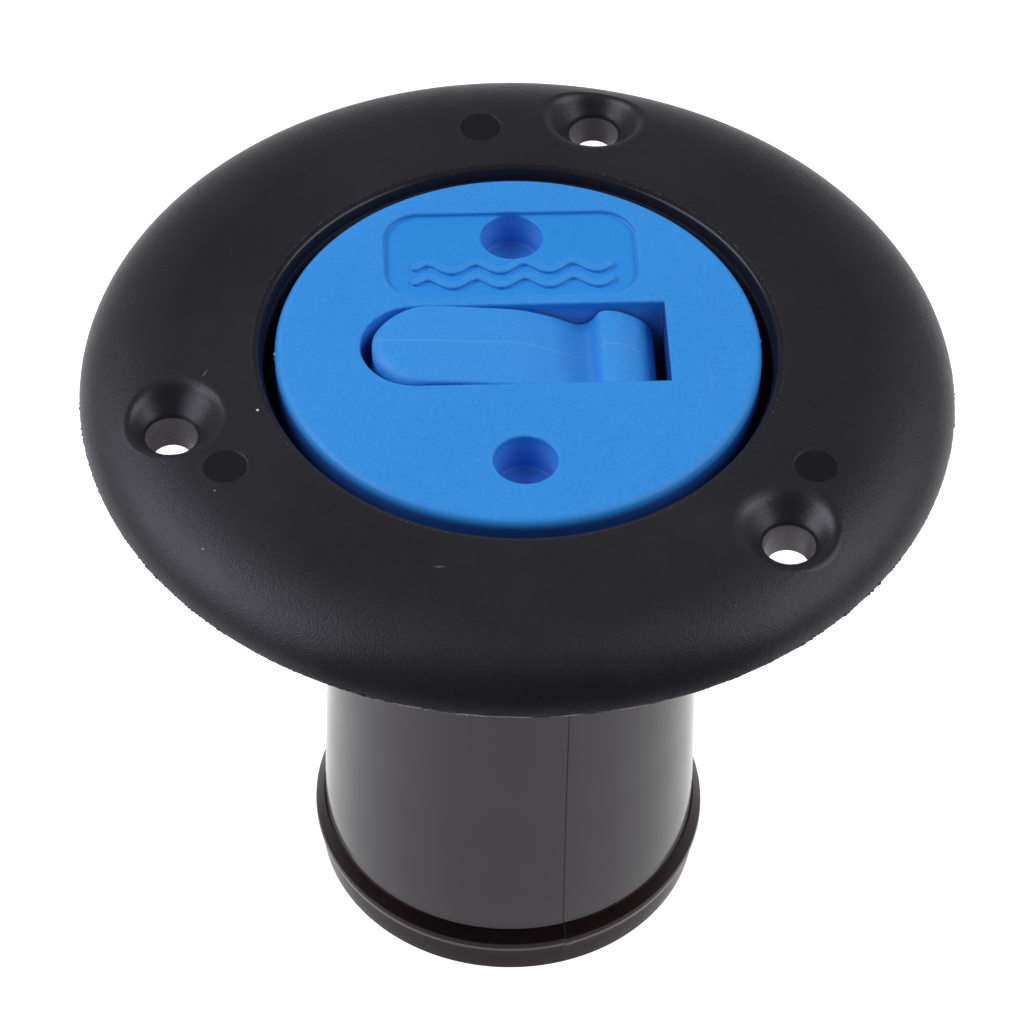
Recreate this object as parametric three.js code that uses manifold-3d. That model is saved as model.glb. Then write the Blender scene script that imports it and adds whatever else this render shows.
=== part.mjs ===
// Deck fill cap: a flush screw cap with a flip-up lever, in a round deck flange with a
// threaded neck and a hose tail. Everything is in millimetres, +Z up. The origin is the
// centre of the bottom end of the hose tail.
import * as THREE from 'three';
import { mergeVertices } from 'three/addons/utils/BufferGeometryUtils.js';
import Module from 'manifold-3d';

const wasm = await Module();
wasm.setup();

// ---------------------------------------------------------------- driving dimensions
const SEG = 48;                  // facets round the large turned shapes

// flange, which lies on the deck at DECK_Z
const DECK_Z = 67.5;
const FLANGE_R = 42.5;
const FLANGE_T = 5.345;
const FLANGE_TOP = DECK_Z + FLANGE_T;
const RIM_FLAT_R = 32.6;         // the flat top ends here and the rim rolls down to the deck
const RIM_POWER = 1.89;
const SCREW_PCD_R = 34.43;
const SCREW_HOLE_R = 2.6;
const SCREW_CSK_R = 5.0;
const SCREW_ANGLES = [74.5, 194.5, 314.5];
const SCREW_BOSS_R = 5.6;
const RECESS_IN_R = 28.8;        // cored ring under the flange
const RECESS_OUT_R = 39.6;
const RECESS_DEPTH = 2.4;
const RIB_COUNT = 12;
const RIB_W = 1.6;

// bore that the cap sits in
const BORE_LIP_R = 25.3;
const BORE_R = 24.7;
const SEAT_TOP_Z = 66.0;         // 45 degree seat for the O-ring
const SEAT_LOW_Z = 63.3;
const SEAT_LOW_R = 22.0;

// neck and hose tail
const THREAD_BASE_R = 21.9;
const THREAD_LOW_Z = 52.6;
const TAIL_BORE_R = 16.6;
const TAIL_R = 19.15;
const TAIL_TOP_Z = 42.5;
const NECK_R = 25.0;
const NECK_LOW_Z = 51.5;
const NECK_HIGH_Z = 59.5;
const COLLAR_R = 27.0;
const BEAD_R = 20.65;
const LIP_R = 19.95;

// screw thread, right hand, single start
const LEAD = 6.0;
const RIDGE_BASE_W = 3.3;
const RIDGE_CREST_W = 1.7;
const BODY_CREST_R = 20.5;
const BODY_HELIX_LOW_Z = 55.0;
const BODY_HELIX_TURNS = 1.15;

// cap
const CAP_TOP_Z = 72.97;
const HEAD_R = 23.46;
const HEAD_LOW_Z = 66.47;
const HEAD_EDGE_R = 0.9;
const SEAL_NECK_R = 20.6;
const SEAL_NECK_LOW_Z = 63.6;
const PLUG_R = 19.9;
const PLUG_LOW_Z = 54.0;
const PLUG_BORE_R = 17.2;
const TOP_PLATE_LOW_Z = 70.2;
const CAP_CREST_R = 21.4;
const CAP_HELIX_LOW_Z = 56.2;
const CAP_HELIX_TURNS = 0.95;
const KEY_R = 3.03;
const KEY_AT_Y = 15.4;
const KEY_DEPTH = 4.2;
const KEY_BOSS_R = 5.0;
const PANEL = { x0: -12.6, x1: 12.25, y0: 6.75, y1: 18.3, r: 3.5, depth: 0.5 };
const WAVE = { x0: -9.6, x1: 9.4, y: 9.97, rows: 2, pitch: 2.2, amp: 0.55, w: 0.9, h: 0.36, length: 4.75 };

// lever pocket in the cap
const POCKET_X0 = -15.1;
const POCKET_X1 = 14.45;
const POCKET_HALF_W = 5.37;
const POCKET_STEP_X = 2.0;
const POCKET_SHALLOW_Z = 66.3;
const POCKET_DEEP_Z = 63.4;
const POCKET_WALL = 2.0;
const TETHER_BOSS_R = 4.0;
const TETHER_BOSS_LOW_Z = 59.4;

// lever and its pin
const PIVOT_X = 8.75;
const PIVOT_Z = 68.17;
const LEVER_HALF_W = 5.12;
const LEVER_X0 = -14.1;
const LEVER_UNDER_Z = 66.8;
const BARREL_R = 4.1;
const PIN_R = 1.25;
const PIN_HALF_L = 9.0;
const PIN_BORE_R = 1.5;
const BEARING_HALF_Y = 9.6;

// O-ring
const O_RING_R = 21.9;
const O_RING_Z = 65.0;
const O_RING_SECTION_R = 1.1;

// tether fittings
const SCREW_SHANK_R = 1.5;
const SCREW_TOP_Z = 64.2;
const SCREW_HEAD_R = 3.6;
const SCREW_HEAD_LOW_Z = 54.9;
const SCREW_HEAD_TOP_Z = 56.7;
const WASHER_R = 3.9;
const SWIVEL_T = 0.8;

// ---------------------------------------------------------------- helpers
const rad = (deg) => (deg * Math.PI) / 180;

// A closed geometry becomes a solid: vertices merged, flat triangles dropped, faces out.
function solid(geometry) {
  const g = geometry.clone();
  for (const name of Object.keys(g.attributes)) if (name !== 'position') g.deleteAttribute(name);
  g.clearGroups();
  const m = mergeVertices(g, 1e-4);
  const p = m.attributes.position.array;
  const idx = m.index.array;
  let tris = [];
  let vol = 0;
  for (let i = 0; i < idx.length; i += 3) {
    const [a, b, c] = [idx[i], idx[i + 1], idx[i + 2]];
    if (a === b || b === c || a === c) continue;
    tris.push(a, b, c);
    const [ax, ay, az] = [p[3 * a], p[3 * a + 1], p[3 * a + 2]];
    const [bx, by, bz] = [p[3 * b], p[3 * b + 1], p[3 * b + 2]];
    const [cx, cy, cz] = [p[3 * c], p[3 * c + 1], p[3 * c + 2]];
    vol += ax * (by * cz - bz * cy) - ay * (bx * cz - bz * cx) + az * (bx * cy - by * cx);
  }
  if (vol < 0) for (let i = 0; i < tris.length; i += 3) [tris[i + 1], tris[i + 2]] = [tris[i + 2], tris[i + 1]];
  const mesh = new wasm.Mesh({ numProp: 3, vertProperties: new Float32Array(p), triVerts: new Uint32Array(tris) });
  return new wasm.Manifold(mesh);
}

function geometryOf(manifold) {
  const mesh = manifold.getMesh();
  const g = new THREE.BufferGeometry();
  g.setAttribute('position', new THREE.BufferAttribute(new Float32Array(mesh.vertProperties), 3));
  g.setIndex(new THREE.BufferAttribute(new Uint32Array(mesh.triVerts), 1));
  g.computeVertexNormals();
  return g;
}

// A turned shape about Z from a list of [radius, z].
function turned(profile, segments = SEG, closed = false) {
  const pts = profile.map(([r, z]) => new THREE.Vector2(r, z));
  if (closed) pts.push(pts[0].clone());
  return solid(new THREE.LatheGeometry(pts, segments).rotateX(Math.PI / 2));
}

// A plain cylinder about Z at (x, y) between two heights.
function post(r, z0, z1, x = 0, y = 0, segments = 16, rTop = r) {
  return solid(new THREE.CylinderGeometry(rTop, r, z1 - z0, segments)
    .rotateX(Math.PI / 2).translate(x, y, (z0 + z1) / 2));
}

// A cylinder along Y.
function crossPost(r, y0, y1, x, z, segments = 16) {
  return solid(new THREE.CylinderGeometry(r, r, y1 - y0, segments).translate(x, (y0 + y1) / 2, z));
}

function block(x0, x1, y0, y1, z0, z1) {
  return solid(new THREE.BoxGeometry(x1 - x0, y1 - y0, z1 - z0)
    .translate((x0 + x1) / 2, (y0 + y1) / 2, (z0 + z1) / 2));
}

function upright(shape, z0, z1, curveSegments = 6) {
  return solid(new THREE.ExtrudeGeometry(shape, { depth: z1 - z0, bevelEnabled: false, curveSegments }).translate(0, 0, z0));
}

function roundedRect(x0, x1, y0, y1, r) {
  const s = new THREE.Shape();
  s.moveTo(x0 + r, y0);
  s.lineTo(x1 - r, y0);
  s.absarc(x1 - r, y0 + r, r, -Math.PI / 2, 0, false);
  s.lineTo(x1, y1 - r);
  s.absarc(x1 - r, y1 - r, r, 0, Math.PI / 2, false);
  s.lineTo(x0 + r, y1);
  s.absarc(x0 + r, y1 - r, r, Math.PI / 2, Math.PI, false);
  s.lineTo(x0, y0 + r);
  s.absarc(x0 + r, y0 + r, r, Math.PI, 1.5 * Math.PI, false);
  return s;
}

// A shape with a full round left end and a square right end.
function slotShape(x0, x1, half) {
  const s = new THREE.Shape();
  s.moveTo(x0 + half, -half);
  s.lineTo(x1, -half);
  s.lineTo(x1, half);
  s.lineTo(x0 + half, half);
  s.absarc(x0 + half, 0, half, Math.PI / 2, 1.5 * Math.PI, false);
  return s;
}

// A helical ridge: a straight trapezoid bar, extruded in steps and wound onto the helix.
// rootR is buried in the wall, crestR is the free edge, and both ends fade into the wall.
function ridge(rootR, crestR, fadeR, zLow, turns, startDeg, baseW, crestW) {
  const steps = Math.round(turns * SEG);
  const s = new THREE.Shape();
  s.moveTo(0, -baseW / 2);
  s.lineTo(1, -crestW / 2);
  s.lineTo(1, crestW / 2);
  s.lineTo(0, baseW / 2);
  const g = new THREE.ExtrudeGeometry(s, { depth: 1, steps, bevelEnabled: false });
  const pos = g.attributes.position;
  for (let i = 0; i < pos.count; i++) {
    const u = pos.getX(i);
    const v = pos.getY(i);
    const t = pos.getZ(i);
    const along = t * turns;
    const fade = Math.min(1, Math.min(t, 1 - t) * turns * 8);
    const crest = fadeR + (crestR - fadeR) * fade;
    const r = rootR + (crest - rootR) * u;
    const a = rad(startDeg) + along * 2 * Math.PI;
    pos.setXYZ(i, r * Math.cos(a), r * Math.sin(a), zLow + along * LEAD + v);
  }
  return solid(g);
}

// ---------------------------------------------------------------- fill body
function makeFillBody() {
  const rim = [];
  const n = 7;
  for (let i = 0; i <= n; i++) {
    const t = (i / n) * (Math.PI / 2);
    const r = RIM_FLAT_R + (FLANGE_R - RIM_FLAT_R) * Math.pow(Math.cos(t), 2 / RIM_POWER);
    const z = DECK_Z + FLANGE_T * Math.pow(Math.sin(t), 2 / RIM_POWER);
    rim.push([i === n ? RIM_FLAT_R : r, i === 0 ? DECK_Z : z]);
  }
  let body = turned([
    [TAIL_BORE_R, 0], [LIP_R - 0.3, 0], [LIP_R, 0.3], [LIP_R, 3.35],
    [BEAD_R - 0.15, 3.5], [BEAD_R, 4.2], [BEAD_R - 0.25, 4.9], [19.7, 5.4], [TAIL_R, 5.9],
    [TAIL_R, TAIL_TOP_Z], [NECK_R, NECK_LOW_Z], [NECK_R, NECK_HIGH_Z], [COLLAR_R, 61], [COLLAR_R, DECK_Z],
    ...rim,
    [BORE_LIP_R + 0.35, FLANGE_TOP], [BORE_R + 0.15, FLANGE_TOP - 0.3], [BORE_R, FLANGE_TOP - 0.9],
    [BORE_R, SEAT_TOP_Z], [SEAT_LOW_R, SEAT_LOW_Z], [THREAD_BASE_R, SEAT_LOW_Z - 0.3],
    [THREAD_BASE_R, THREAD_LOW_Z], [20.9, 52], [TAIL_BORE_R, 43],
  ], SEG, true);

  body = body.add(ridge(THREAD_BASE_R + 0.5, BODY_CREST_R, THREAD_BASE_R + 0.25,
    BODY_HELIX_LOW_Z, BODY_HELIX_TURNS, 0, RIDGE_BASE_W + 0.5, RIDGE_CREST_W));

  // cored ring under the flange, with radial ribs and a boss round each screw hole
  let core = turned([
    [RECESS_IN_R, DECK_Z - 1], [RECESS_OUT_R, DECK_Z - 1], [RECESS_OUT_R, DECK_Z + RECESS_DEPTH - 0.9],
    [RECESS_OUT_R - 2.6, DECK_Z + RECESS_DEPTH], [RECESS_IN_R, DECK_Z + RECESS_DEPTH],
  ], SEG, true);
  for (let i = 0; i < RIB_COUNT; i++) {
    const rib = solid(new THREE.BoxGeometry(RECESS_OUT_R - RECESS_IN_R + 3, RIB_W, 8)
      .translate((RECESS_OUT_R + RECESS_IN_R) / 2, 0, DECK_Z).rotateZ(rad((i * 360) / RIB_COUNT)));
    core = core.subtract(rib);
  }
  for (const a of SCREW_ANGLES) {
    core = core.subtract(post(SCREW_BOSS_R, DECK_Z - 3, DECK_Z + 4,
      SCREW_PCD_R * Math.cos(rad(a)), SCREW_PCD_R * Math.sin(rad(a)), 20));
  }
  body = body.subtract(core);

  for (const a of SCREW_ANGLES) {
    const x = SCREW_PCD_R * Math.cos(rad(a));
    const y = SCREW_PCD_R * Math.sin(rad(a));
    const hole = turned([
      [0, DECK_Z - 3], [SCREW_HOLE_R, DECK_Z - 3], [SCREW_HOLE_R, DECK_Z + 2.79],
      [SCREW_CSK_R, FLANGE_TOP - 0.1], [SCREW_CSK_R + 0.4, FLANGE_TOP + 0.6], [0, FLANGE_TOP + 0.6],
    ], 20).translate([x, y, 0]);
    body = body.subtract(hole);
  }

  // moulded eye inside the neck for the retaining cord
  const eye = block(14.9, 20.6, -1.4, 1.4, 45.6, 51.4).subtract(crossPost(1.3, -3, 3, 16.9, 49.0, 12));
  body = body.add(eye);
  return body;
}

// ---------------------------------------------------------------- cap
function makeCap() {
  let cap = turned([
    [0, PLUG_LOW_Z], [PLUG_R - 0.4, PLUG_LOW_Z], [PLUG_R, PLUG_LOW_Z + 0.4], [PLUG_R, SEAL_NECK_LOW_Z - 0.4],
    [SEAL_NECK_R, SEAL_NECK_LOW_Z], [SEAL_NECK_R, HEAD_LOW_Z], [HEAD_R - 0.3, HEAD_LOW_Z], [HEAD_R, HEAD_LOW_Z + 0.3],
    [HEAD_R, CAP_TOP_Z - HEAD_EDGE_R], [HEAD_R - 0.26, CAP_TOP_Z - 0.26], [HEAD_R - HEAD_EDGE_R, CAP_TOP_Z], [0, CAP_TOP_Z],
  ]);
  cap = cap.add(ridge(PLUG_R - 0.5, CAP_CREST_R, PLUG_R - 0.3,
    CAP_HELIX_LOW_Z, CAP_HELIX_TURNS, ((CAP_HELIX_LOW_Z - BODY_HELIX_LOW_Z) / LEAD) * 360 + 180,
    RIDGE_BASE_W + 0.3, RIDGE_CREST_W));

  // the hollow under the head, less the pocket's walls and the bosses
  let hollow = post(PLUG_BORE_R, PLUG_LOW_Z - 1, TOP_PLATE_LOW_Z, 0, 0, SEG);
  const w = POCKET_WALL;
  hollow = hollow
    .subtract(upright(slotShape(POCKET_X0 - w, POCKET_X1 + w, POCKET_HALF_W + w), POCKET_SHALLOW_Z - w, 80))
    .subtract(block(POCKET_STEP_X - w, POCKET_X1 + w, -POCKET_HALF_W - w, POCKET_HALF_W + w, POCKET_DEEP_Z - w, 80))
    .subtract(block(PIVOT_X - 3.4, PIVOT_X + 3.4, -BEARING_HALF_Y, BEARING_HALF_Y, PIVOT_Z - 3.4, 80))
    .subtract(post(KEY_BOSS_R, CAP_TOP_Z - KEY_DEPTH - 2, 80, 0, KEY_AT_Y, 20))
    .subtract(post(KEY_BOSS_R, CAP_TOP_Z - KEY_DEPTH - 2, 80, 0, -KEY_AT_Y, 20))
    .subtract(post(TETHER_BOSS_R, TETHER_BOSS_LOW_Z, 80, 0, 0, 20));
  cap = cap.subtract(hollow);

  // the pocket
  cap = cap
    .subtract(upright(slotShape(POCKET_X0, POCKET_X1, POCKET_HALF_W), POCKET_SHALLOW_Z, CAP_TOP_Z + 5, 8))
    .subtract(block(POCKET_STEP_X, POCKET_X1, -POCKET_HALF_W, POCKET_HALF_W, POCKET_DEEP_Z, CAP_TOP_Z - 2));

  // label panel with its raised waves
  cap = cap.subtract(upright(roundedRect(PANEL.x0, PANEL.x1, PANEL.y0, PANEL.y1, PANEL.r),
    CAP_TOP_Z - PANEL.depth, CAP_TOP_Z + 5, 4));
  for (let k = 0; k < WAVE.rows; k++) {
    const yc = WAVE.y + (k - (WAVE.rows - 1) / 2) * WAVE.pitch;
    const n = 24;
    const top = [];
    const low = [];
    for (let i = 0; i <= n; i++) {
      const x = WAVE.x0 + ((WAVE.x1 - WAVE.x0) * i) / n;
      const y = yc + WAVE.amp * Math.sin(((x - WAVE.x0) / WAVE.length) * 2 * Math.PI);
      top.push(new THREE.Vector2(x, y + WAVE.w / 2));
      low.push(new THREE.Vector2(x, y - WAVE.w / 2));
    }
    const s = new THREE.Shape([...low, ...top.reverse()]);
    cap = cap.add(upright(s, CAP_TOP_Z - PANEL.depth - 0.3, CAP_TOP_Z - PANEL.depth + WAVE.h));
  }

  // two blind key holes
  for (const y of [KEY_AT_Y, -KEY_AT_Y]) {
    cap = cap.subtract(post(KEY_R, CAP_TOP_Z - KEY_DEPTH, CAP_TOP_Z + 2, 0, y, 20));
  }

  // pin bore, in from the +Y side of the head, and the pilot hole for the tether screw
  cap = cap.subtract(crossPost(PIN_BORE_R, -PIN_HALF_L - 0.3, HEAD_R + 2, PIVOT_X, PIVOT_Z, 12));
  cap = cap.subtract(post(SCREW_SHANK_R + 0.25, TETHER_BOSS_LOW_Z - 1, SCREW_TOP_Z + 0.4, 0, 0, 12));
  return cap;
}

// ---------------------------------------------------------------- lever
function makeLever() {
  // side outline, x against height above the cap's top face
  const top = [
    [-14.1, -1.3], [-13.75, -0.45], [-12.9, 0.3], [-11.5, 0.44], [-9.1, 0.37], [-6.15, 0.23], [-3.6, 0.0], [-1.5, -0.19],
    [0.2, -0.42], [1.9, -0.87], [3.6, -1.45], [4.85, -2.05], [5.7, -2.46], [6.35, -2.54], [7.0, -2.3],
    [7.5, -1.75], [7.9, -1.19], [8.5, -0.7],
  ];
  const s = new THREE.Shape();
  s.moveTo(LEVER_X0 + 0.6, LEVER_UNDER_Z);
  s.lineTo(LEVER_X0, LEVER_UNDER_Z + 1.2);
  for (const [x, z] of top) s.lineTo(x, CAP_TOP_Z + z);
  // round the back of the barrel and under it
  for (let a = 80; a >= -150; a -= 23) {
    s.lineTo(PIVOT_X + BARREL_R * Math.cos(rad(a)), PIVOT_Z + BARREL_R * Math.sin(rad(a)));
  }
  s.lineTo(PIVOT_X - 4.6, LEVER_UNDER_Z);
  s.closePath();
  const side = solid(new THREE.ExtrudeGeometry(s, { depth: 2 * LEVER_HALF_W, bevelEnabled: false })
    .rotateX(Math.PI / 2).translate(0, LEVER_HALF_W, 0));
  let lever = side.intersect(upright(slotShape(LEVER_X0, 20, LEVER_HALF_W), 50, 90, 8));
  // cored underside and the pin bore
  lever = lever.subtract(upright(slotShape(-12.0, 3.0, 3.2), LEVER_UNDER_Z - 1, CAP_TOP_Z - 2.4, 5));
  lever = lever.subtract(crossPost(PIN_BORE_R, -10, 10, PIVOT_X, PIVOT_Z, 12));
  return lever;
}

// ---------------------------------------------------------------- small pieces
function makePin() {
  const c = 0.25;
  return turned([
    [0, -PIN_HALF_L], [PIN_R - c, -PIN_HALF_L], [PIN_R, -PIN_HALF_L + c], [PIN_R, PIN_HALF_L - c],
    [PIN_R - c, PIN_HALF_L], [0, PIN_HALF_L],
  ], 12);
}

function makeORing() {
  const pts = [];
  for (let i = 0; i < 10; i++) {
    const a = (i / 10) * 2 * Math.PI;
    pts.push([O_RING_R + O_RING_SECTION_R * Math.cos(a), O_RING_Z + O_RING_SECTION_R * Math.sin(a)]);
  }
  return turned(pts, SEG, true);
}

function makeTetherScrew() {
  let s = turned([
    [0, SCREW_HEAD_LOW_Z], [2.2, SCREW_HEAD_LOW_Z], [3.2, SCREW_HEAD_LOW_Z + 0.5], [SCREW_HEAD_R, SCREW_HEAD_LOW_Z + 1.2],
    [SCREW_HEAD_R, SCREW_HEAD_TOP_Z], [SCREW_SHANK_R, SCREW_HEAD_TOP_Z], [SCREW_SHANK_R, SCREW_TOP_Z - 1],
    [0, SCREW_TOP_Z],
  ], 16);
  // cross recess in the head
  s = s.subtract(block(-1.9, 1.9, -0.4, 0.4, SCREW_HEAD_LOW_Z - 1, SCREW_HEAD_LOW_Z + 0.9));
  s = s.subtract(block(-0.4, 0.4, -1.9, 1.9, SCREW_HEAD_LOW_Z - 1, SCREW_HEAD_LOW_Z + 0.9));
  return s;
}

function makeWasher() {
  return turned([
    [SCREW_SHANK_R + 0.3, 57.0], [WASHER_R, 57.0], [WASHER_R, 57.7], [SCREW_SHANK_R + 0.3, 57.7],
  ], 20, true);
}

// A flat stainless link: a round end on the screw and an eye at the other end.
function makeSwivel() {
  const z0 = 58.1;
  const plate = new THREE.Shape();
  plate.moveTo(3.8, 0);
  plate.absarc(0, 0, 3.8, 0, Math.PI, false);
  plate.lineTo(-2.5, -9.5);
  plate.absarc(0, -9.5, 2.5, Math.PI, 2 * Math.PI, false);
  plate.lineTo(3.8, 0);
  let p = upright(plate, z0, z0 + SWIVEL_T, 8);
  p = p.subtract(post(SCREW_SHANK_R + 0.4, z0 - 1, z0 + 2, 0, 0, 14));
  p = p.subtract(post(1.3, z0 - 1, z0 + 2, 0, -9.5, 12));
  return p;
}

// ---------------------------------------------------------------- materials and scene
const blackNylon = new THREE.MeshStandardMaterial({ color: 0x2a292d, roughness: 0.62, metalness: 0 });
const blueNylon = new THREE.MeshStandardMaterial({ color: 0x2f86dd, roughness: 0.42, metalness: 0 });
const stainless = new THREE.MeshStandardMaterial({ color: 0xb9bcc0, roughness: 0.3, metalness: 1 });
const nitrile = new THREE.MeshStandardMaterial({ color: 0x111113, roughness: 0.75, metalness: 0 });

function piece(name, manifold, material) {
  const mesh = new THREE.Mesh(geometryOf(manifold), material);
  mesh.name = name;
  return mesh;
}

const deckFill = new THREE.Group();
deckFill.name = 'deck_fill';
deckFill.add(piece('fill_body', makeFillBody(), blackNylon));

const capGroup = new THREE.Group();
capGroup.add(piece('cap', makeCap(), blueNylon));
capGroup.add(piece('lever', makeLever(), blueNylon));
const pin = piece('lever_pin', makePin(), stainless);
pin.rotation.x = Math.PI / 2;
pin.position.set(PIVOT_X, 0, PIVOT_Z);
capGroup.add(pin);
capGroup.add(piece('cap_o_ring', makeORing(), nitrile));
capGroup.add(piece('tether_screw', makeTetherScrew(), stainless));
capGroup.add(piece('tether_washer', makeWasher(), stainless));
capGroup.add(piece('tether_swivel', makeSwivel(), stainless));
deckFill.add(capGroup);

export default deckFill;
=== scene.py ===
# Deck fill cap: the fine surfaces, materials, light and camera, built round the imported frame.
import math

import bmesh
import bpy
import numpy as np
from mathutils import Matrix, Vector, geometry


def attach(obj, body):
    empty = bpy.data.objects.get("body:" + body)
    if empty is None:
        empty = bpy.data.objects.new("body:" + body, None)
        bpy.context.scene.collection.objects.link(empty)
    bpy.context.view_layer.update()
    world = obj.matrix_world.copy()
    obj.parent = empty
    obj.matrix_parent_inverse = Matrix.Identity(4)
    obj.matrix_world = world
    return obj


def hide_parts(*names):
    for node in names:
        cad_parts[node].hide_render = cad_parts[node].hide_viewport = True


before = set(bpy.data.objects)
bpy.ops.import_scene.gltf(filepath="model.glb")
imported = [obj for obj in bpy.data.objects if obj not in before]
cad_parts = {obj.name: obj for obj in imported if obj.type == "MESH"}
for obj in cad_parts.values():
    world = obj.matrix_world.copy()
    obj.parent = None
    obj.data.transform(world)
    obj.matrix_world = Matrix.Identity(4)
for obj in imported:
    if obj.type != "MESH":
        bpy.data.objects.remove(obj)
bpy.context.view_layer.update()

MM = 0.001
scene = bpy.context.scene

# ------------------------------------------------------------------ dimensions, mm
DECK = 67.5
TOP = 72.845
FLAT_R = 32.6
RIM_R = 42.40
RIM_H = TOP - DECK
RIM_N = 1.89
HOLES = [74.5, 194.5, 314.5]
HOLE_AT = 34.43
THROAT_R = 2.5
EXITS = [(1.95, 0.42), (1.95, 0.66), (2.06, 0.17)]
MARKS = [(31.3, 94.5), (32.0, 208.6), (32.0, 328.1)]
CAP_TOP = 72.97
HEAD_R = 23.44
LEAD = 6.0
PIVOT = (8.75, 68.17)
SEAMS = [-75.6, 104.4]


def rad(d):
    return d * math.pi / 180.0


def harmonics(theta, seed, lo, hi, power=0.0):
    """Smooth noise round a circle, of unit spread, the same each run."""
    rng = np.random.default_rng(seed)
    out = np.zeros_like(theta)
    tot = 0.0
    for k in range(lo, hi):
        a = k ** -power
        out += a * np.cos(k * theta + rng.uniform(0, 2 * math.pi))
        tot += a * a / 2
    return out / math.sqrt(tot)


def smoothstep(a, b, x):
    t = np.clip((x - a) / (b - a), 0, 1)
    return t * t * (3 - 2 * t)


def rounded(points, seg=6, step=None):
    """A polyline through (r, z, fillet radius) corners, with each fillet as an arc."""
    out = []
    n = len(points)
    for i, (x, y, f) in enumerate(points):
        p = np.array([x, y], float)
        if f <= 0 or i in (0, n - 1):
            out.append(p)
            continue
        a = np.array(points[i - 1][:2], float) - p
        b = np.array(points[i + 1][:2], float) - p
        la, lb = np.linalg.norm(a), np.linalg.norm(b)
        a, b = a / la, b / lb
        ang = math.acos(float(np.clip(a @ b, -1, 1)))
        if ang > math.pi - 1e-3:
            out.append(p)
            continue
        cut = min(f / math.tan(ang / 2), 0.49 * la, 0.49 * lb)
        f = cut * math.tan(ang / 2)
        mid = (a + b) / np.linalg.norm(a + b)
        c = p + mid * (f / math.sin(ang / 2))
        s, e = p + a * cut - c, p + b * cut - c
        t0, t1 = math.atan2(s[1], s[0]), math.atan2(e[1], e[0])
        d = (t1 - t0 + math.pi) % (2 * math.pi) - math.pi
        for k in range(seg + 1):
            t = t0 + d * k / seg
            out.append(c + f * np.array([math.cos(t), math.sin(t)]))
    if step:
        dense = [out[0]]
        for q in out[1:]:
            p = dense[-1]
            m = max(1, int(math.ceil(np.linalg.norm(q - p) / step)))
            for k in range(1, m + 1):
                dense.append(p + (q - p) * k / m)
        out = dense
    return np.array(out)


class Builder:
    """Collects vertices and faces in millimetres, and makes one mesh of them."""

    def __init__(self):
        self.v, self.f, self.m, self.n = [], [], [], 0

    def verts(self, pts):
        pts = np.asarray(pts, float).reshape(-1, 3)
        i = np.arange(self.n, self.n + len(pts))
        self.v.append(pts)
        self.n += len(pts)
        return i

    def bridge(self, a, b, mat=0, closed=True):
        n = len(a)
        m = n if closed else n - 1
        for k in range(m):
            j = (k + 1) % n
            self.f.append((a[k], a[j], b[j], b[k]))
            self.m.append(mat)

    def tri(self, a, b, c, mat=0):
        self.f.append((a, b, c))
        self.m.append(mat)

    def fan(self, ring, centre, mat=0):
        c = self.verts([centre])[0]
        n = len(ring)
        for k in range(n):
            self.tri(ring[k], ring[(k + 1) % n], c, mat)

    def mesh(self, name, merge=2e-6):
        me = bpy.data.meshes.new(name)
        v = np.concatenate(self.v) * MM
        me.from_pydata(v.tolist(), [], [tuple(int(i) for i in f) for f in self.f])
        me.polygons.foreach_set("material_index", np.array(self.m, np.int32))
        bm = bmesh.new()
        bm.from_mesh(me)
        bmesh.ops.remove_doubles(bm, verts=bm.verts, dist=merge)
        bmesh.ops.dissolve_degenerate(bm, dist=1e-7, edges=bm.edges)
        bmesh.ops.recalc_face_normals(bm, faces=bm.faces)
        if bm.calc_volume(signed=True) < 0:
            bmesh.ops.reverse_faces(bm, faces=bm.faces)
        open_edges = sum(1 for e in bm.edges if not e.is_manifold)
        if open_edges:
            print(f"{name}: {open_edges} open edges")
        bm.to_mesh(me)
        bm.free()
        return me


def link(name, me):
    ob = bpy.data.objects.new(name, me)
    scene.collection.objects.link(ob)
    return ob


def shade(me, angle=32):
    me.polygons.foreach_set("use_smooth", [True] * len(me.polygons))
    me.set_sharp_from_angle(angle=rad(angle))


def turned(name, profile, segments, closed=False, axis="Z", mat=0):
    """A revolved piece from an (r, z) profile, which starts and ends on the axis or closes."""
    b = Builder()
    t = np.arange(segments) * 2 * math.pi / segments
    rings = []
    for r, z in profile:
        if r < 1e-6:
            rings.append(("c", z))
        else:
            rings.append(b.verts(np.stack([r * np.cos(t), r * np.sin(t), np.full_like(t, z)], 1)))
    pairs = list(zip(rings, rings[1:] + rings[:1])) if closed else list(zip(rings, rings[1:]))
    for p, q in pairs:
        if isinstance(p, tuple) and isinstance(q, tuple):
            continue
        if isinstance(p, tuple):
            b.fan(q, (0, 0, p[1]), mat)
        elif isinstance(q, tuple):
            b.fan(p, (0, 0, q[1]), mat)
        else:
            b.bridge(p, q, mat)
    me = b.mesh(name)
    if axis == "Y":
        me.transform(Matrix.Rotation(math.pi / 2, 4, "X"))
    shade(me)
    return me


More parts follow.
